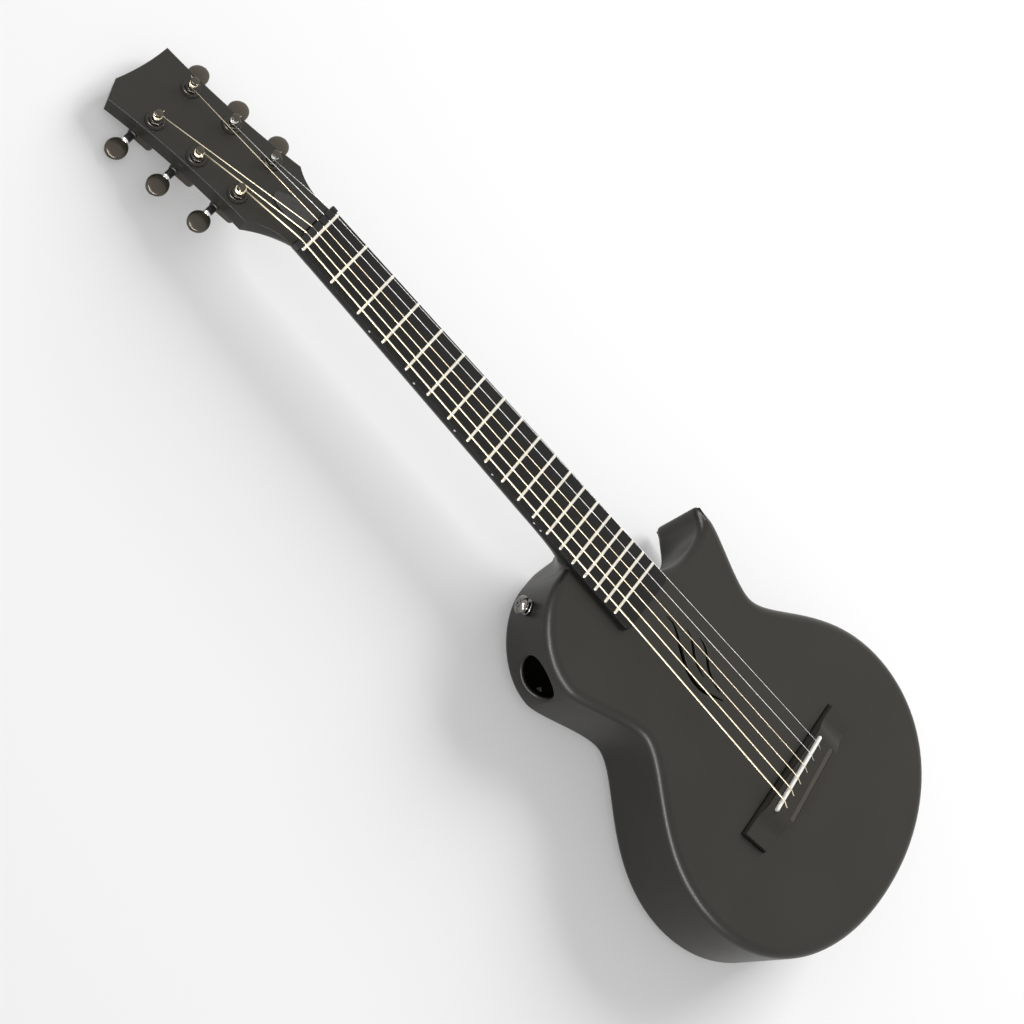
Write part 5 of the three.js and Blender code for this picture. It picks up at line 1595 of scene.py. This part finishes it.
def use_group(tree, group, **values):
    """An effect placed in a material, with its own values."""
    made = tree.nodes.new("ShaderNodeGroup")
    made.node_tree = group
    values["Place"] = node(tree, "TexCoord").outputs["Object"]
    for key, value in values.items():
        feed(tree, made.inputs[key], value)
    return made.outputs


def new_finish(name):
    """An empty finish, its nodes and its shader."""
    material = bpy.data.materials.new(name)
    material.use_nodes = True
    tree = material.node_tree
    return material, tree, tree.nodes["Principled BSDF"]


def rgb(red, green, blue):
    """A colour given as it looks, from 0 to 255, turned into light."""
    def light(value):
        value /= 255
        return value / 12.92 if value <= 0.04045 else ((value + 0.055) / 1.055) ** 2.4
    return (light(red), light(green), light(blue), 1)


def toned(colour, share):
    """A colour made darker or lighter."""
    return tuple(c * share for c in colour[:3]) + (1,)


SPECK_STRENGTH = 0.35
SPECK_TONE = 1.25
UNEVENNESS = 0.04


def moulded(name, colour, roughness, depth=0.3, grain=900.0, variation=0.12, specular=0.5):
    """Moulded composite or plastic with a fine texture."""
    material, tree, shader = new_finish(name)
    grains = use_group(tree, GRAIN, Grain=grain, Depth=depth)
    darker = toned(colour, 1 - variation)
    lighter = tuple(min(1, c) for c in toned(colour, 1 + variation))
    patchy = colour_mix(tree, spread(tree, grains["Patch"], 0, 1), darker, lighter)
    speck = spread(tree, grains["Tone"], 0, SPECK_STRENGTH)
    speckled = colour_mix(tree, speck, patchy, toned(colour, SPECK_TONE))
    uneven = spread(tree, grains["Patch"], roughness - UNEVENNESS, roughness + UNEVENNESS)
    feed(tree, shader.inputs["Base Color"], speckled)
    feed(tree, shader.inputs["Roughness"], uneven)
    feed(tree, shader.inputs["Normal"], grains["Normal"])
    feed(tree, shader.inputs["Specular IOR Level"], specular)
    return material


def smudged(tree, shader, smudge, colour, dulling, rough, smooth):
    """Metal whose colour and roughness follow its smudges."""
    mixed = colour_mix(tree, spread(tree, smudge, 0, 1), toned(colour, dulling), colour)
    feed(tree, shader.inputs["Base Color"], mixed)
    feed(tree, shader.inputs["Roughness"], spread(tree, smudge, rough, smooth))


def metal(name, colour, roughness, swing=0.06, hairlines=True, metallic=1):
    """Plated or drawn metal with faint smudges and, where it shows, hairlines."""
    material, tree, shader = new_finish(name)
    marks = use_group(tree, HANDLING)
    smudged(tree, shader, marks["Smudge"], colour, 0.88,
            roughness + swing, max(0.03, roughness - swing))
    if hairlines:
        feed(tree, shader.inputs["Normal"], marks["Normal"])
    feed(tree, shader.inputs["Metallic"], metallic)
    return material


def wound_wire(name, colour, roughness, pitch=0.22):
    """Bronze wire wrapped round a core, its turns a pitch apart along the string."""
    material, tree, shader = new_finish(name)
    along = node(tree, "Attribute", {"attribute_name": "along"}).outputs["Fac"]
    wave = maths(tree, "SINE", maths(tree, "MULTIPLY", along, 2 * math.pi / pitch))
    bump = node(tree, "Bump", None, Strength=0.12, Distance=0.00003, Height=wave)
    marks = use_group(tree, HANDLING, Smudges=90.0)
    smudged(tree, shader, marks["Smudge"], colour, 0.82, roughness + 0.06, roughness - 0.04)
    feed(tree, shader.inputs["Normal"], bump.outputs["Normal"])
    feed(tree, shader.inputs["Metallic"], 1)
    return material



FINISH = {
    "body": moulded("charcoal composite", rgb(39, 37, 31), 0.36, 0.16, specular=0.36),
    "back": moulded("charcoal composite back", rgb(37, 35, 29), 0.38, 0.16, specular=0.36),
    "bridge": moulded("bridge composite", rgb(43, 41, 35), 0.4, 0.2, 1100.0, specular=0.28),
    "strip": moulded("bridge strip", rgb(66, 61, 55), 0.5, 0.2, 1100.0, specular=0.35),
    # The seam finish is a painted shadow: the nearly black band round the bridge's foot.
    "seam": moulded("seam", rgb(14, 14, 13), 0.6, 0.1, 1100.0, specular=0.05),
    "board": moulded("fretboard composite", rgb(20, 19, 18), 0.46, 0.2, 1300.0, 0.16, 0.25),
    "nut": moulded("nut plastic", rgb(14, 14, 14), 0.35, 0.1, 1500.0, specular=0.4),
    "saddle": moulded("white bone plastic", rgb(244, 242, 236), 0.35, 0.05, 700.0, 0.03),
    "dots": moulded("dot plastic", rgb(240, 240, 238), 0.4, 0.03, 700.0, 0.03),
    "cover": moulded("cover plastic", rgb(54, 52, 50), 0.25, 0.06, 1500.0, 0.06),
    "frets": metal("nickel silver", rgb(252, 246, 232), 0.3),
    "bronze": wound_wire("phosphor bronze", rgb(255, 242, 212), 0.35),
    "steel_wire": metal("plain steel wire", rgb(240, 240, 238), 0.45, hairlines=False),
    "chrome": metal("black chrome", rgb(78, 72, 62), 0.28, metallic=0.5),
    "chrome_case": metal("black chrome case", rgb(76, 70, 61), 0.38, metallic=0.5),
    "chrome_bright": metal("bright chrome", rgb(225, 224, 222), 0.16),
    "chrome_washer": metal("washer chrome", rgb(62, 59, 54), 0.24, metallic=0.6),
    "sleeve": moulded("black sleeve", rgb(26, 26, 26), 0.4, 0.05, 1500.0),
    "strap": metal("strap button chrome", rgb(128, 125, 121), 0.14),
    "rod": metal("zinc plated steel", rgb(160, 162, 165), 0.35),
}

# Assembly

placed(painted(body_shell(), FINISH["body"]), PLAY, "guitar", "body", "body_shell")
placed(painted(back_tray(), FINISH["back"]), PLAY, "guitar", "back", "back_cover")
placed(painted(board(), FINISH["board"]), PLAY, "guitar", "fretboard", "fretboard")
dots = merged("side_dots", [(dot, FINISH["dots"]) for dot in side_dots()])
placed(dots, PLAY, "guitar", None)
for number in range(FRETS + 1):
    wire = painted(fret(number), FINISH["frets"])
    placed(wire, PLAY, "guitar", "frets", f"fret_{number:02d}")

placed(painted(bridge(), FINISH["bridge"]), PLAY, "guitar", "bridge", "bridge")
placed(painted(bridge_strip(), FINISH["strip"]), PLAY, "guitar", None)
# A thin black band round the bridge's foot: painted shadow.
placed(painted(bridge_shadow_line(), FINISH["seam"]), PLAY, "guitar", None)
placed(painted(nut_bar(), FINISH["nut"]), PLAY, "guitar", "nut", "nut")
placed(painted(saddle(), FINISH["saddle"]), PLAY, "guitar", "saddle", "saddle")
placed(painted(rod_cover(), FINISH["cover"]), HEAD, "guitar", "rod_cover", "truss_rod_cover")

for name in ("truss_rod", "truss_rod_nut"):
    painted(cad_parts[name], FINISH["rod"])

BARREL_PROFILE = (
    (0, -1.5), (1.7, -1.5), (1.7, -0.5), (1.4, 0), (1.7, 0.5), (1.7, 1.5), (0, 1.5),
)


def finished(name, parts, *finishes):
    """One object out of several shapes, each with the finish of the same place."""
    return merged(name, [(part, FINISH[finish]) for part, finish in zip(parts, finishes)])


for tuner in TUNERS:
    name, hand = tuner["name"], tuner["hand"]
    span, end, ball, hole = string_parts(tuner)
    is_plain = name in PLAIN
    wire = FINISH["steel_wire" if is_plain else "bronze"]
    string_slot = "plain_strings" if is_plain else "wound_strings"
    barrel = turned("barrel", softened(BARREL_PROFILE, 0.3, 2), 20)
    moved(barrel, along_matrix(Vector(ball), (1, 0, 0)))
    placed(painted(creased(barrel, 40), FINISH["bronze"]), PLAY, "guitar", string_slot)
    barrel.name = f"{name}_ball"
    placed(painted(span, wire), PLAY, "guitar", string_slot, f"string_{name}")
    placed(painted(end, wire), HEAD, f"{name}_post", string_slot, f"string_{name}")

    mirror = Matrix.Diagonal((hand, 1, 1, 1))
    place = HEAD @ Matrix.Translation((tuner["x"], tuner["v"], 0)) @ mirror
    axis_place = place @ Matrix.Translation((0, WORM_Y, -WORM_DEPTH))
    bushing = finished(f"{name}_bushing", bushing_parts(), "chrome_washer", "chrome_washer")
    post = finished(f"{name}_peg", post_parts(hole), "chrome", "chrome")
    housing = finished(f"{name}_housing", housing_parts(), "chrome_case", "sleeve")
    knob = finished(
        f"{name}_knob_grip", knob_parts(), "rod", "chrome_bright", "chrome", "chrome",
    )
    for made, matrix, body, node_name in (
        (bushing, place, "guitar", f"{name}_tuner_bushing"),
        (post, place, f"{name}_post", f"{name}_tuner_post"),
        (housing, place, "guitar", f"{name}_tuner_housing"),
        (knob, axis_place, f"{name}_knob", f"{name}_tuner_button"),
    ):
        placed(made, matrix, body, "tuners", node_name)
        if hand < 0:
            made.data.flip_normals()

for label, point, outward in STRAPS:
    made = finished(f"strap_{label}", strap_parts(), "strap", "strap")
    place = PLAY @ along_matrix(point + outward * 2 * GAP, outward)
    placed(made, place, "guitar", "strap_buttons", f"strap_button_{label}")

# Floor, lamps and camera


def background_mask(tree):
    """One where the background itself is seen, straight, mirrored or through something."""
    paths = node(tree, "LightPath").outputs
    mask = paths["Is Camera Ray"]
    for label in ("Is Glossy Ray", "Is Transmission Ray"):
        mask = maths(tree, "MAXIMUM", mask, paths[label])
    return mask


FLOOR_HALF = 6
FLOOR_GLOW = 0.25
SKY_LEVEL = 0.49

floor = box_of("floor", (-FLOOR_HALF, -FLOOR_HALF, -0.02), (FLOOR_HALF, FLOOR_HALF, 0))
material, tree, shader = new_finish("pale floor")
feed(tree, shader.inputs["Base Color"], (0.93, 0.93, 0.93, 1))
feed(tree, shader.inputs["Roughness"], 0.9)
feed(tree, shader.inputs["Specular IOR Level"], 0.1)
glow = node(tree, "Emission", None, Color=(1, 1, 1, 1), Strength=1.0)
share = maths(tree, "MULTIPLY", background_mask(tree), FLOOR_GLOW)
blend = node(tree, "MixShader")
for socket, value in zip(blend.inputs, (share, shader.outputs[0], glow.outputs[0])):
    feed(tree, socket, value)
feed(tree, tree.nodes["Material Output"].inputs["Surface"], blend.outputs[0])
painted(floor, material)

world = bpy.data.worlds.new("studio")
bpy.context.scene.world = world
world.use_nodes = True
sky = world.node_tree
background = sky.nodes["Background"]
level = node(sky, "MapRange", None, Value=background_mask(sky), To_Min=SKY_LEVEL, To_Max=1.0)
feed(sky, background.inputs["Color"], (1, 1, 1, 1))
feed(sky, background.inputs["Strength"], level.outputs[0])


def lamp(name, place, target, size, power, mirrored, lights):
    """A soft lamp at a place in metres, aimed at a target, that may show only in reflections."""
    light = bpy.data.lights.new(name, "AREA")
    light.shape = "RECTANGLE"
    light.size, light.size_y = size
    light.energy = power
    made = linked(name, light)
    made.location = place
    made.rotation_mode = "QUATERNION"
    made.rotation_quaternion = (Vector(target) - Vector(place)).to_track_quat("-Z", "Y")
    made.visible_glossy = mirrored
    made.visible_diffuse = lights


KEY_PLACE = (3.9, -0.75, 2.4)
KEY_SIZE = (2.85, 2.85)
KEY_POWER = 250
STRIP_TURNS = (125, 160, 195)
STRIP_REACH = 1.75
STRIP_HEIGHT = 1.1
STRIP_SIZE = (1.08, 0.3)
STRIP_POWER = 24

lamp("key", KEY_PLACE, (0, 0, 0.05), KEY_SIZE, KEY_POWER, False, True)
for degrees in STRIP_TURNS:
    turn = math.radians(degrees)
    spot = (STRIP_REACH * math.cos(turn), STRIP_REACH * math.sin(turn), STRIP_HEIGHT)
    lamp(f"strip_{degrees}", spot, (0, -0.1, 0.05), STRIP_SIZE, STRIP_POWER, True, False)

CAMERA_PLACE = (-923.5, 140.7, 1376.4)
CAMERA_RIGHT = Vector((0.5445, -0.6462, 0.5348))
CAMERA_DOWN = Vector((-0.6535, -0.7265, -0.2124))
CAMERA_FORWARD = Vector((0.5258, -0.2339, -0.8178))

camera = bpy.data.cameras.new("camera")
camera.lens = 77.55
camera.sensor_width = 36
camera.clip_start = 0.05
camera.clip_end = 50
eye = linked("camera", camera)
tilt = Matrix.Rotation(REST_TILT, 3, "X")
axes = [tilt @ CAMERA_RIGHT, tilt @ -CAMERA_DOWN, tilt @ -CAMERA_FORWARD]
eye.rotation_mode = "QUATERNION"
eye.rotation_quaternion = Matrix(axes).transposed().to_quaternion()
eye.location = PLAY @ Vector(CAMERA_PLACE)
bpy.context.scene.camera = eye

bpy.context.scene.view_settings.view_transform = "Standard"
